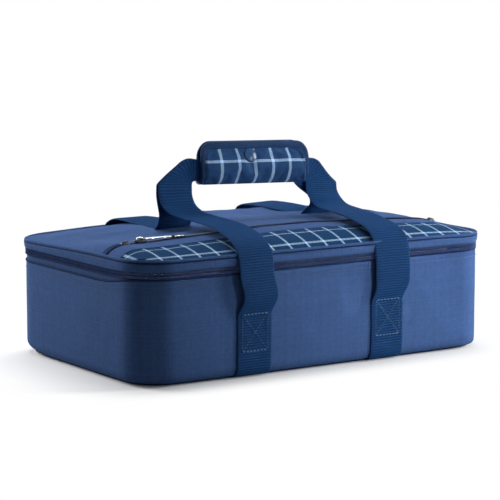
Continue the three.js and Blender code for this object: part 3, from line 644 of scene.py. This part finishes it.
def lid_sheet(top, under, front=-LID_HALF, rear=LID_HALF, step=5, soft=0, seed=0, reach=-0.5):
    """A layer of the lid between two depths under its outer surface, from front to rear, in soft waves."""
    x, y = plan_grid(reach, step, 0.022, front, rear)
    z = lid_top(x, y)
    if soft:
        waves = ripples(x, y, 66, 28, seed) + 0.35 * ripples(x, y, 19, 15, seed + 4)
        edge = np.minimum(y - front, rear - y)
        z = z + soft * waves * smooth(edge, 0, 14) * smooth(LENGTH / 2 - np.abs(x), 3, 30)
    rise = np.cumsum(np.hypot(np.diff(y, axis=0), np.diff(z, axis=0)), 0)
    over = np.concatenate([np.zeros((1, x.shape[1])), rise])
    return slab(grid(x, y, z - top), grid(x, y, z - under), grid(x, over))


solid("lid_liner", lid_sheet(7.5, 8), silver_foil, "lid")
lid_foam = solid("lid_foam", lid_sheet(2.2, 7.2), white_foam, "lid")
lining = woven("pocket_lining", (0.018, 0.022, 0.042, 1), pitch=0.6, rough=0.75, slot="lining")
solid("pocket_lining", lid_sheet(1.4, 1.9), lining, "lid")


# Pocket: a check panel along the front of the lid, its plain hem, and the lid's own panel behind
# the pocket zipper, all in the same polyester and laid over the lining.
def windowpane(name, ground, pitch, first_line, rows, line=1.3, last=300):
    """Navy check cloth: pale blue yarns both ways, so lines show half and crossings whole. A row has its
    run from the cloth's lower edge and half its width, and no line lies past last."""
    material, wire, shader = finish(name, 0.015, "check_fabric", Sheen_Weight=0.005, Sheen_Roughness=0.5)
    weave = threads(wire, 0.8)
    warp, weft, over, _ = weave
    pale = (0.42, 0.6, 0.8, 1)
    along = (abs((warp - first_line) % pitch - pitch / 2) > pitch / 2 - line) * (warp < last)
    across = sum(abs(weft - run) < half for run, half in rows)
    colour = over.mix(across.mix(ground, pale), along.mix(ground, pale))
    cloth_colour(wire, shader, colour, weave, 0.1, 0.7)
    return material


lid_check = windowpane("lid_check", (0.009, 0.039, 0.106, 1), 20.3, 4.6, [(10.3, 1.4), (33, 0.75)])
pocket_panel = solid("pocket_panel", lid_sheet(0, 1, -LID_HALF, -83.6, 3, 0.4, 2), lid_check, "lid")
solid("pocket_hem", lid_sheet(-0.6, 1, -84.6, -62.9, 2.4, 0.15, 3), navy_polyester, "lid")
lid_panel = solid("lid_panel", lid_sheet(-0.2, 1, -51.1, LID_HALF, 4, 1.7, 7), navy_polyester, "lid")


# Pocket zipper: a narrow coil zipper across the lid, its tapes sewn under the hem and the panel
# and running out into the end seams.
POCKET_Y, STOP_MIDDLE, STOP_HALF = -57, 180.8, 4.4
fine_coil = coil_nylon("fine_coil", (0.01, 0.024, 0.066, 1), (0.018, 0.036, 0.088, 1))
coil_line = [(x, POCKET_Y, 0, 1, x) for x in (-175.8, 175.8)]
for side, sign, start in (("front", -1, 0.4), ("rear", 1, 1.15)):
    near, far = sorted((POCKET_Y + sign * 0.5, POCKET_Y + sign * 5.9))
    solid(f"pocket_tape_{side}", lid_sheet(0.3, 0.9, near, far, 1.5, reach=-0.8), zip_tape, "lid")
    low, high = sorted((sign * 2.3, -sign * 0.35))
    points, faces, cloth = teeth(coil_line, 1.5, start, low, high, (-1.2, 0.1), 0.7)
    up = points[:, 1] - POCKET_Y
    points[:, 1] = POCKET_Y + points[:, 2]
    points[:, 2] = lid_top(points[:, 0], points[:, 1]) + up + 1.35
    solid(f"pocket_coil_{side}", (points, faces, cloth), fine_coil, "lid")
for side, sign in (("left", -1), ("right", 1)):
    along, across = np.meshgrid(np.linspace(-1, 1, 12), np.linspace(-1, 1, 9))
    x = sign * (STOP_MIDDLE + STOP_HALF * along)
    y = POCKET_Y + 2.4 * across * (1 - 0.25 * along ** 4)
    z = lid_top(x, y)
    arch = 3.2 * (1 - np.abs(across) ** 3) * (1 - along ** 6)
    solid(f"pocket_stop_{side}", layer(x, y, z + 0.3 + arch, z - 0.3), gunmetal, "lid")
    # A thin raised dark strip across each end of the tapes: the painted shadow of the hem's fold in the end
    # seam.
    x, across = np.meshgrid(np.linspace(184.6, 203.2, 14) * sign, np.linspace(-1, 1, 7))
    y = POCKET_Y + 3 * across
    z = lid_top(x, y) + 0.9 * (1 - across ** 4)
    solid(f"pocket_tape_end_{side}", layer(x, y, z, z - 1.3), dark_trim, "lid")


# Sliders and pulls: die-cast sliders in gunmetal, each with a wire bail, and long slim pulls of
# polished metal that hang in the bails.
def unit(vectors):
    """Vectors cut to a length of 1."""
    return vectors / np.linalg.norm(vectors, axis=-1, keepdims=True)


def tube(path, radius, closed=False):
    """A round wire along a path."""
    path = np.asarray(path, float)
    ahead = unit(np.roll(path, -1, 0) - np.roll(path, 1, 0) if closed else np.gradient(path, axis=0))
    turn = 2 * math.pi * np.arange(10)[:, None] / 10
    aside = np.cross(ahead[0], (0.3, 0.9, 0.31))
    skin = []
    for point, way in zip(path, ahead):
        aside = unit(aside - way * (aside @ way))
        skin.append(point + radius * (aside * np.cos(turn) + np.cross(way, aside) * np.sin(turn)))
    return rings(np.array(skin), closed=closed)


def plate(outline, low, high, ease):
    """A flat plate with eased edges."""
    outline = np.asarray(outline, float)
    ahead = np.roll(outline, -1, 0) - np.roll(outline, 1, 0)
    out = unit(np.stack([ahead[:, 1], -ahead[:, 0]], 1))
    out *= np.sign(((outline - outline.mean(0)) * out).sum())
    edge = [(ease, low), (ease * 0.3, low + ease * 0.3), (0, low + ease)]
    edge += [(inset, low + high - z) for inset, z in reversed(edge)]
    return rings(np.array([grid(*(outline - out * inset).T, z) for inset, z in edge]))


def placed(shape, matrix):
    """A shape moved to its place."""
    points, faces, _ = shape
    points = np.array([matrix @ Vector(p) for p in points])
    return points, faces, points[[i for face in faces for i in face], :2]


silver, wire, shader = finish("silver_metal", 0.5)
polish = clouds(wire, 500, 5)
scratch = clouds(wire, 2200, 1)
mottle(shader, polish, (0.62, 0.64, 0.67, 1), (0.86, 0.87, 0.88, 1),
       Metallic=0.94 + polish * 0.06, Roughness=0.16 + polish * 0.14 + scratch * 0.06)


def mirrored(half):
    """An outline from its half on one side of the middle line."""
    return half + [(x, -y) for x, y in reversed(half) if y]


def slider(width):
    """A slider's shield-shaped top with its side flanges and raised diamond, and its wire bail."""
    half = width / 2
    shield = mirrored([(-6.5, -half * 0.45), (-5.6, -half * 0.72), (-3.4, -half), (5.4, -half),
                       (6.5, -half * 0.8), (6.5, -1.1), (5.4, 0)])
    ridge = mirrored([(-4.9, 0), (-3.2, -1.3), (3.6, -1.3), (4.6, 0)])
    flanges = [[(-3.2, s * half), (5.6, s * half), (5.6, s * (half - 1.1)), (-3.2, s * (half - 1.1))]
               for s in (-1, 1)]
    block = joined(plate(shield, 0, 1.25, 0.35), plate(ridge, 1, 1.9, 0.3),
                   *(plate(flange, -1.1, 0.5, 0.3) for flange in flanges))
    foot = [(-3.05, 0, 0.7), (-3.05, 0, 2.7), (-2.75, 0, 3.5), (-2, 0, 3.82)]
    return block, tube(foot + [(-x, y, z) for x, y, z in reversed(foot)], 0.6)


# A pull's slim tongue, wider at the tip, and its dark eye round the bail's wire and dark collar.
tongue = mirrored([
    (5.2, -1.25), (9, -1.5), (36, -1.75), (40, -2.3), (46.4, -2.55), (48.2, -1.9), (49, -0.7)])
inlay = mirrored([(12, -0.55), (36, -0.8), (38, 0)]) + [(10.5, 0)]
pull = joined(plate(tongue, -0.6, 0.6, 0.35), plate(inlay, 0.5, 0.8, 0.2))
eye = mirrored([(0, -2.05), (0.5, -2.3), (4, -2.3), (5.4, -1.4), (5.9, 0)])
collar = mirrored([(34.4, -2.1), (37.6, -2.1)])
pull_eye = joined(tube([(x, y, 0) for x, y in eye], 0.55, True), plate(collar, -0.95, 0.95, 0.25))
pocket_place = Matrix.Translation((-165, POCKET_Y, 126.77))
main_place = Matrix.Translation((204.8, 64, 103.6)) @ Matrix(((0, 0, 1), (-1, 0, 0), (0, -1, 0))).to_4x4()
for name, matrix, width in (("pocket", pocket_place, 7), ("main", main_place, 5.4)):
    block, bail = slider(width)
    solid(f"{name}_slider", placed(block, matrix), gunmetal, f"{name}_slider")
    solid(f"{name}_bail", placed(bail, matrix), silver, f"{name}_slider")
    matrix = matrix @ Matrix.Translation((0, 0, 2.3))
    solid(f"{name}_pull", placed(pull, matrix), silver, f"{name}_pull")
    solid(f"{name}_pull_eye", placed(pull_eye, matrix), gunmetal, f"{name}_pull")


# Handles: each is one length of ribbed webbing. It is sewn up the wall from the base, hangs free
# over the lid, stands up beside the middle, and is folded in half where it runs through the grip.
WEB_WIDTH, WEB_RIB, GRIP_RUN = 38, 2.5, 116
webbing, wire, shader = finish("webbing", 0.03)
across, along = cloth_ways(wire)
rib = 0.5 + 0.5 * along.math("COSINE", along * (2 * math.pi / WEB_RIB))
shift = along.math("FLOOR", along / (WEB_RIB / 2) + 0.25) * (math.pi / 2)
yarn = abs(across.math("SINE", across * (math.pi / 0.62) + shift))
wear = clouds(wire, 60, 4)
fibre = clouds(wire, 900, 2)
# The colour is lighter on the ribs' crests and the yarns' tops and darker in the grooves between them, which
# is painted shade. The rubbed patches and the fibres vary it at random.
level = wire.node("Clamp", {0: rib * 0.55 + yarn * 0.22 + (wear - 0.5) * 0.5 + (fibre - 0.5) * 0.5})
mottle(shader, level, (0.005, 0.025, 0.084, 1), (0.0125, 0.057, 0.168, 1), Roughness=0.55 + wear * 0.2)
relief(shader, 0.45, 0.0003, yarn + rib * 0.6)


def within(value, start, full, ebb, end):
    """1 from full to ebb, easing to 0 at start and at end."""
    return smooth(value, start, full) * (1 - smooth(value, ebb, end))


def leant(points):
    """The sewn ends and the risers stand a little to the left, and the tops are lower on the right."""
    points = np.array(points)
    x, z = points[..., 0], points[..., 2].copy()
    points[..., 2] -= 0.05 * x * smooth(z, 142, 172)
    points[..., 0] -= 5 * (1 - smooth(z, 59, 77)) + 4.8 * smooth(z, 136, 160) - 3.2 * smooth(z, 172, 192)
    return points


def curve_through(keys, step):
    """A smooth line through keys, whose first values are a place, cut into even steps, and its run."""
    keys = np.asarray(keys, float)
    ends = np.concatenate([2 * keys[:1] - keys[1:2], keys, 2 * keys[-1:] - keys[-2:-1]])
    t = np.linspace(0, 1, 40, endpoint=False)[:, None]
    fine = [0.5 * (2 * p1 + (p2 - p0) * t + (2 * p0 - 5 * p1 + 4 * p2 - p3) * t * t
                   + (3 * p1 - p0 - 3 * p2 + p3) * t ** 3)
            for p0, p1, p2, p3 in zip(ends, ends[1:], ends[2:], ends[3:])]
    fine = np.concatenate(fine + [keys[-1:]])
    run = run_along(fine[:, :3])
    even = np.linspace(0, run[-1], round(run[-1] / step) + 1)
    return np.stack([np.interp(even, run, values) for values in fine.T], 1), even


# One leg from the base seam up to the lid, then over it to the shoulder at the front or at the rear:
# x of its middle, distance out from the middle plane, and z.
wall_keys = [
    (77.5, 120.3, 1.6), (77.5, 122.9, 2.7), (77.5, 125.5, 6.2), (77.5, 126.8, 12), (77.5, 127.3, 30),
    (77.5, 127.4, 46), (77.5, 127.4, 58), (77.5, 128.8, 64), (77.6, 131.2, 72), (78.3, 132.4, 84),
    (78.6, 131.4, 102), (78.6, 129.6, 112)]
front_keys = [
    (78.5, 125, 121), (78.5, 117, 127), (78.4, 107, 130.6), (77.9, 94, 133.2), (77.5, 72, 137.2),
    (78.2, 48, 139.2), (80.4, 28, 140.6), (84, 14, 143.2), (86.2, 6, 148.2), (86.9, 2.8, 155), (87, 2, 163)]
rear_keys = [
    (78.5, 125, 118.4), (78.5, 118, 122.6), (78.4, 109, 125.2), (78, 98, 126.2), (77.7, 84, 126.8),
    (77.7, 66, 127), (78.4, 46, 126.6), (80.6, 29, 126), (84, 17, 127.2), (86, 9, 132), (86.7, 4.6, 141),
    (86.9, 2.8, 152), (87, 2, 163)]
# The slanting shoulder and the fold into the grip: the inner edge, then the outer edge.
shoulder = [
    (67.7, 1.6, 166.6, 105.4, 1.6, 167), (67.2, 1.5, 168.2, 99, 1.5, 172.7),
    (66.6, 1.5, 168.9, 92.4, 1.5, 178.5), (66, 1.5, 169.2, 86.2, 1.5, 184),
    (65.4, 1.5, 169.4, 80.4, 1.5, 188.8), (63.5, 1.5, 169.5, 72, 1.5, 191.4),
    (58, 1.5, 169.5, 58, 1.5, 189.4)]


def settle(left, right, sign):
    """Lays a handle's legs: the rear ones sink or ride up on the lid, the front ones sway at its edge."""
    (left_y, left_z), (right_y, right_z) = left[:, 1:3].T, right[:, 1:3].T
    if sign > 0:
        right[:, 0] += 6 * smooth(right_z, 131, 141) * (1 - smooth(right_y, 6, 14))
        right[:, 0] -= 19 * smooth(right_z, 146, 170)
        right[:, [2, 5]] += within(right_y, 14, 40, 118, 132)[:, None] * [4.5, 5.5]
        left[:, 2] -= 1.5 * within(left_y, 3, 14, 22, 40)
        left[:, 5] -= 1.8 * within(left_y, 8, 30, 70, 110)
    else:
        free = within(left_z, 78, 98, 124, 136) * smooth(-left_y, 84, 104)
        left[:, [0, 3]] -= 3.6 * free[:, None]
        free = within(right_z, 64, 84, 124, 136) * smooth(-right_y, 84, 104)
        right += free[:, None] * [-2.2, 2.6, 0, -2.2, -1.6, 0]


def handle(face, sign):
    """One handle's whole length as a ribbed band: up the left leg, through the grip, down the right leg."""
    half = WEB_WIDTH / 2
    leg = wall_keys + (front_keys if sign < 0 else rear_keys)
    keys = np.array([(x - half, y, z, x + half, y, z) for x, y, z in leg] + shoulder)
    line, run = curve_through(np.concatenate([(keys[:, :3] + keys[:, 3:]) / 2, keys], 1), 0.62)
    left, right = line[:, 3:] * ([-1, sign, 1] * 2), line[::-1, 3:] * ([1, sign, 1] * 2)
    settle(left, right, sign)
    bridge = np.linspace(0, 1, 25)[1:-1, None]
    rows = np.concatenate([left, left[-1] * (1 - bridge) + right[0] * bridge, right])[:, None]
    along = np.concatenate([run, run[-1] + GRIP_RUN * bridge[:, 0], run[-1] + GRIP_RUN + run])
    selvedge = [0, 0.015, 0.05, 0.14, 0.26, 0.38]
    share = np.array(selvedge + [0.5] + [1 - place for place in reversed(selvedge)])
    thick = np.array([0.35, 0.68, 0.9] + [1] * 7 + [0.9, 0.68, 0.35])
    across = rows[..., 3:] - rows[..., :3]
    sheet = rows[..., :3] + across * share[:, None]
    out = unit(np.cross(np.gradient(sheet, axis=0), across))
    rib = 0.16 * np.cos(2 * math.pi * along / WEB_RIB)[:, None] * smooth(thick, 0.6, 0.95)
    out *= (0.85 * thick + rib)[..., None]
    shape = slab(leant(sheet + out), leant(sheet - out), grid(share * WEB_WIDTH, along[:, None]))
    nodes = [f"{face}_handle_webbing", f"{face}_left_anchor", f"{face}_right_anchor"]
    piece = solid(nodes[0], shape, webbing, None, nodes)
    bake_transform(piece)


for face, sign in (("front", -1), ("rear", 1)):
    handle(face, sign)


# Stitching: pale blue thread in a crossed box on each sewn strap end, and a navy row of topstitching
# under the zipper seam.
def stitches(lines, length, gap, width):
    """Short thread loops along lines of (points, ways out)."""
    turn = np.radians(60 * np.arange(6))[:, None]
    profile = ((0, -0.35, 0.5), (0.2, 0.15, 1), (0.5, 0.3, 1), (0.8, 0.15, 1), (1, -0.35, 0.5))
    loops = []
    for path, out in lines:
        run = run_along(path)

        def at(values, place):
            return np.array([np.interp(place, run, column) for column in values.T])

        for start in np.arange(gap / 2, run[-1] - length * 0.6, length + gap):
            loop = []
            for share, lift, girth in profile:
                place = start + share * length
                ahead = at(path, place + 0.2) - at(path, place - 0.2)
                up = at(out, place)
                aside = np.cross(unit(ahead), up)
                round_it = 0.5 * girth * (up * np.sin(turn) + aside * np.cos(turn))
                loop.append(at(path, place) + width * (up * lift + round_it))
            loops.append(rings(np.array(loop)))
    return joined(*loops)


def thread(name, colour, slot):
    """Twisted sewing thread."""
    material, wire, shader = finish(name, 0.1, slot)
    ply = texture(wire, "TexWave", 900, {"bands_direction": "DIAGONAL"}, Distortion=1)
    mottle(shader, ply, (*(0.7 * c for c in colour[:3]), 1), colour, Roughness=0.45 + ply * 0.2)
    return material


pale_thread = thread("pale_thread", (0.085, 0.165, 0.3, 1), "webbing")
navy_thread = thread("navy_thread", (0.1, 0.135, 0.26, 1), "navy_polyester")
# The box's top and bottom rows use a paler copy of the same pale blue thread, painted light, so that they
# show brighter than the crossing.
painted_light_row_thread = thread("painted_light_row_thread", (0.22, 0.33, 0.52, 1), "webbing")
BOX_HALF, BOX_LOW, BOX_HIGH = 14, 25.5, 60.5
sewn_keys = np.array(wall_keys[2:8])
share = np.linspace(0, 1, 12)
for face, sign in (("front", -1), ("rear", 1)):
    rows, crossing = [], []
    for middle in (-82.5, 72.5):
        left, right = middle - BOX_HALF, middle + BOX_HALF
        a, b, c, d = (left, BOX_LOW), (right, BOX_LOW), (right, BOX_HIGH), (left, BOX_HIGH)
        for start, end in ((a, b), (b, c), (c, d), (d, a), (a, c), (b, d)):
            x, z = (p + (q - p) * share for p, q in zip(start, end))
            y = sign * (np.interp(z, sewn_keys[:, 2], sewn_keys[:, 1]) + 1)
            line = grid(x, y, z), np.array([(0, sign, 0)] * len(share))
            (rows if start[1] == end[1] else crossing).append(line)
    solid(f"{face}_strap_rows", stitches(rows, 2.5, 1.4, 0.75), painted_light_row_thread, "tub")
    solid(f"{face}_strap_crossing", stitches(crossing, 2.3, 0.9, 0.62), pale_thread, "tub")
seam, seam_out = [], []
for x, y, nx, ny, _ in whole_plan + whole_plan[:1]:
    out = wall_out(x, y, 89.5) + 0.1
    seam.append((x + nx * out, y + ny * out, seam_level(x, y) - 6.5))
    seam_out.append((nx, ny, 0))
topstitching = stitches([(np.array(seam), np.array(seam_out))], 2.4, 1, 0.55)
solid("wall_topstitching", topstitching, navy_thread, "tub")


# Grip wrap: two padded flaps in the check cloth, the front one turning on the fold under the
# straps. Each is bound along its top and ends in darker cloth, and the pads are stuffed thin.
grip_check = windowpane("grip_check", (0.016, 0.046, 0.124, 1), 20, -1.1, [(28.5, 1.5)], 1.6, 52)
PAD_HALF, PAD_INSIDE, PAD_RUN, GRIP_MIDDLE, GRIP_CORNER = 62.5, 4.7, 46, 187, 14
# A pad's face from the fold at its foot to its bound top edge: distance out and height.
pad_face = [(PAD_INSIDE, 165.8), (7.6, 166.9), (9.9, 170), (11.2, 175.5), (11.6, 181), (11.1, 187),
            (9.8, 193), (7.6, 199), (5.6, 205)]
flaps = (("grip_flap", -1, "grip_flap"), ("grip_back", 1, "rear_handle"))


def tilted(points):
    """The wrap sits a little to the left on the straps, lower on the right."""
    points = np.array(points)
    points[..., 2] = GRIP_MIDDLE + (points[..., 2] - GRIP_MIDDLE) * 0.962 - 0.036 * points[..., 0]
    points[..., 0] -= 2.7
    return points


def shortened(x, sign):
    """The left half is pushed together on the straps, the rear flap's more than the front one's."""
    return np.where(x < 0, x * (0.895 if sign > 0 else 0.955), x)


def puff(piece, held, most):
    """Fills a sewn pad with pressure in a short cloth simulation, and keeps the shape that it takes."""
    mesh = piece.data
    before = np.array([v.co for v in mesh.vertices])
    group = piece.vertex_groups.new(name="sewn")
    group.add(np.flatnonzero(held).tolist(), 1, "REPLACE")
    cloth = piece.modifiers.new("stuffing", "CLOTH")
    settings, last = cloth.settings, 20
    settings.quality, settings.mass, settings.shrink_min = 6, 0.1, -0.035
    settings.use_pressure, settings.uniform_pressure_force = True, 4
    settings.vertex_group_mass = "sewn"
    settings.effector_weights.gravity = 0
    cloth.collision_settings.use_collision = False
    cloth.point_cache.frame_start, cloth.point_cache.frame_end = 1, last
    for number in range(1, last + 1):
        scene.frame_set(number)
    seen = piece.evaluated_get(bpy.context.evaluated_depsgraph_get())
    after = np.array([v.co for v in seen.data.vertices])
    piece.modifiers.remove(cloth)
    scene.frame_set(1)
    moved = after - before
    far = np.linalg.norm(moved, axis=1, keepdims=True)
    moved *= np.minimum(1, most / np.maximum(far, 1e-9))
    mesh.vertices.foreach_set("co", (before + moved).astype(np.float32).ravel())
    mesh.update()


def pad(name, sign, body):
    """A stuffed flap: sewn thin at its edges, full in the middle, pinched where the snap goes through."""
    v, u = np.linspace(0, 1, 22)[:, None], spread(-1, 1, 0.035)[None, :]
    line, _ = curve_through(pad_face, 0.8)
    out, z = (np.interp(v, np.linspace(0, 1, len(line)), line[:, k]) for k in (0, 1))
    past = np.maximum(z - 190, 0)
    rounded = GRIP_CORNER - np.sqrt(np.maximum(GRIP_CORNER ** 2 - past ** 2, 0))
    x = shortened((PAD_HALF - 0.8 * rounded) * u, sign)
    drawn = 1 - 0.42 * np.abs(u) ** 5
    snap = np.exp(-(((x + 6) / 11) ** 2 + ((z - 195.3) / 9) ** 2))
    front = PAD_INSIDE + (out - PAD_INSIDE) * drawn - 0.9 * snap
    inside = np.minimum(4.5, front - 0.25)
    points, faces, cloth = slab(grid(x, sign * front, z), grid(x, sign * inside, z), grid(x, PAD_RUN * v))
    piece = solid(name, (tilted(points), faces, cloth), grip_check, body)
    held = (np.abs(u) > 0.97) | (v < 0.03) | (v > 0.93) | (snap > 0.72)
    puff(piece, np.concatenate([held, np.ones(x.shape, bool)]).ravel(), 0.0022)
    piece.modifiers.new("soft", "SUBSURF").render_levels = 1


for flap, sign, body in flaps:
    pad(f"{flap}_pad", sign, body)


def binding(name, sign, body):
    """Tape folded over a flap's edge, from the foot of one end over the top to the foot of the other."""
    end, top = 65.2, 209.6
    side, level = GRIP_CORNER - end, top - GRIP_CORNER
    half = [(-end, z) for z in np.linspace(166.2, level, 14)[:-1]]
    half += [(side - GRIP_CORNER * math.cos(t), level + GRIP_CORNER * math.sin(t))
             for t in np.linspace(0, math.pi / 2, 10)]
    straight = [(x, top) for x in np.linspace(side, -side, 40)[1:-1]]
    edge = np.array(half + straight + [(-x, z) for x, z in reversed(half)])
    ahead = unit(np.gradient(edge, axis=0))
    run = run_along(edge)
    rows = []
    for (x, z), (ax, az), s in zip(edge, ahead, run):
        up, foot = smooth(z, 190, 206), smooth(z, 165, 176)
        width, thick = 7 + 0.9 * up + (3.2 if x > 0 else -2.6) * (1 - up), 4.3 - 0.2 * up
        middle = (2.6 + 4.6 * foot) * (1 - up) + 4.75 * up + 0.15 * math.sin(s / 4.1)
        section = mirrored([(-0.2, 0), (0.1, thick * 0.34), (0.9, thick * 0.5), (width * 0.5, thick * 0.52),
                            (width - 0.4, thick * 0.46), (width, thick * 0.3)])
        rows.append([(x + az * a, sign * (middle + out), z - ax * a) for a, out in section])
    rows = np.array(rows)
    rows[..., 0] = shortened(rows[..., 0], sign)
    piece = solid(name, rings(tilted(rows), run, np.arange(rows.shape[1] + 1)), binding_cloth, body)
    piece.modifiers.new("soft", "SUBSURF").render_levels = 1


binding_cloth = woven("binding_cloth", (0.015, 0.036, 0.094, 1), pitch=0.8, rough=0.6, slot="dark_trim")
for flap, sign, body in flaps:
    binding(f"{flap}_binding", sign, body)


# Fold under the straps: a narrow strip of the check cloth along the foot of both flaps, sewn to each,
# so that the front one can open.
x, t = np.meshgrid(spread(-61, 61, 3), np.linspace(-1, 1, 17))
curve = grid(x, 5.2 * np.sin(t * 1.45), 168.6 - 2.9 * np.cos(t * 1.3))
points, faces, cloth = slab(curve + (0, 0, 1), curve, grid(x, t * 5))
fold = solid("grip_fold", (tilted(points), faces, cloth), grip_check, None)
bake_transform(fold)


# Snap: a domed cap of navy enamelled metal on each outer face, with the bright socket and stud
# behind them, pressed through the pads above the straps.
def turned(profile):
    """A round piece from its half profile of (radius, height) points."""
    turn = 2 * math.pi * np.arange(40) / 40
    return rings(np.array([grid(r * np.cos(turn), r * np.sin(turn), height) for r, height in profile]))


enamel, wire, shader = finish("snap_enamel", 0.22, Coat_Roughness=0.1)
flow = clouds(wire, 300, 2)
mottle(shader, flow, (0.003, 0.034, 0.11, 1), (0.006, 0.046, 0.138, 1),
       Roughness=0.13 + flow * 0.1, Coat_Weight=0.02 + flow * 0.05)
cap_profile = [
    (6.6, -0.9), (7, -0.2), (7.05, 0.3), (6.8, 0.85), (6.3, 1.15), (5.6, 1.3), (4.4, 1.75), (3, 2.1),
    (1.5, 2.3), (0.3, 2.35)]
for name, sign, body in (("snap_cap", -1, "grip_flap"), ("snap_post", 1, "rear_handle")):
    leaning = Matrix.Rotation(math.radians(-70 * sign), 4, "X")
    matrix = Matrix.Translation((-8.7, sign * 8.9, 195.4)) @ leaning
    solid(name, placed(turned(cap_profile), matrix), enamel, body)
for name in ("snap_socket", "snap_stud"):
    dress(name, silver, 1)

# Size: the boxes of the bare frame and of the dressed carrier, in metres, written side by side so
# that the two can be compared.
low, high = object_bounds()
{"cad": [list(cad_low), list(cad_high)], "visual": [list(low), list(high)]}
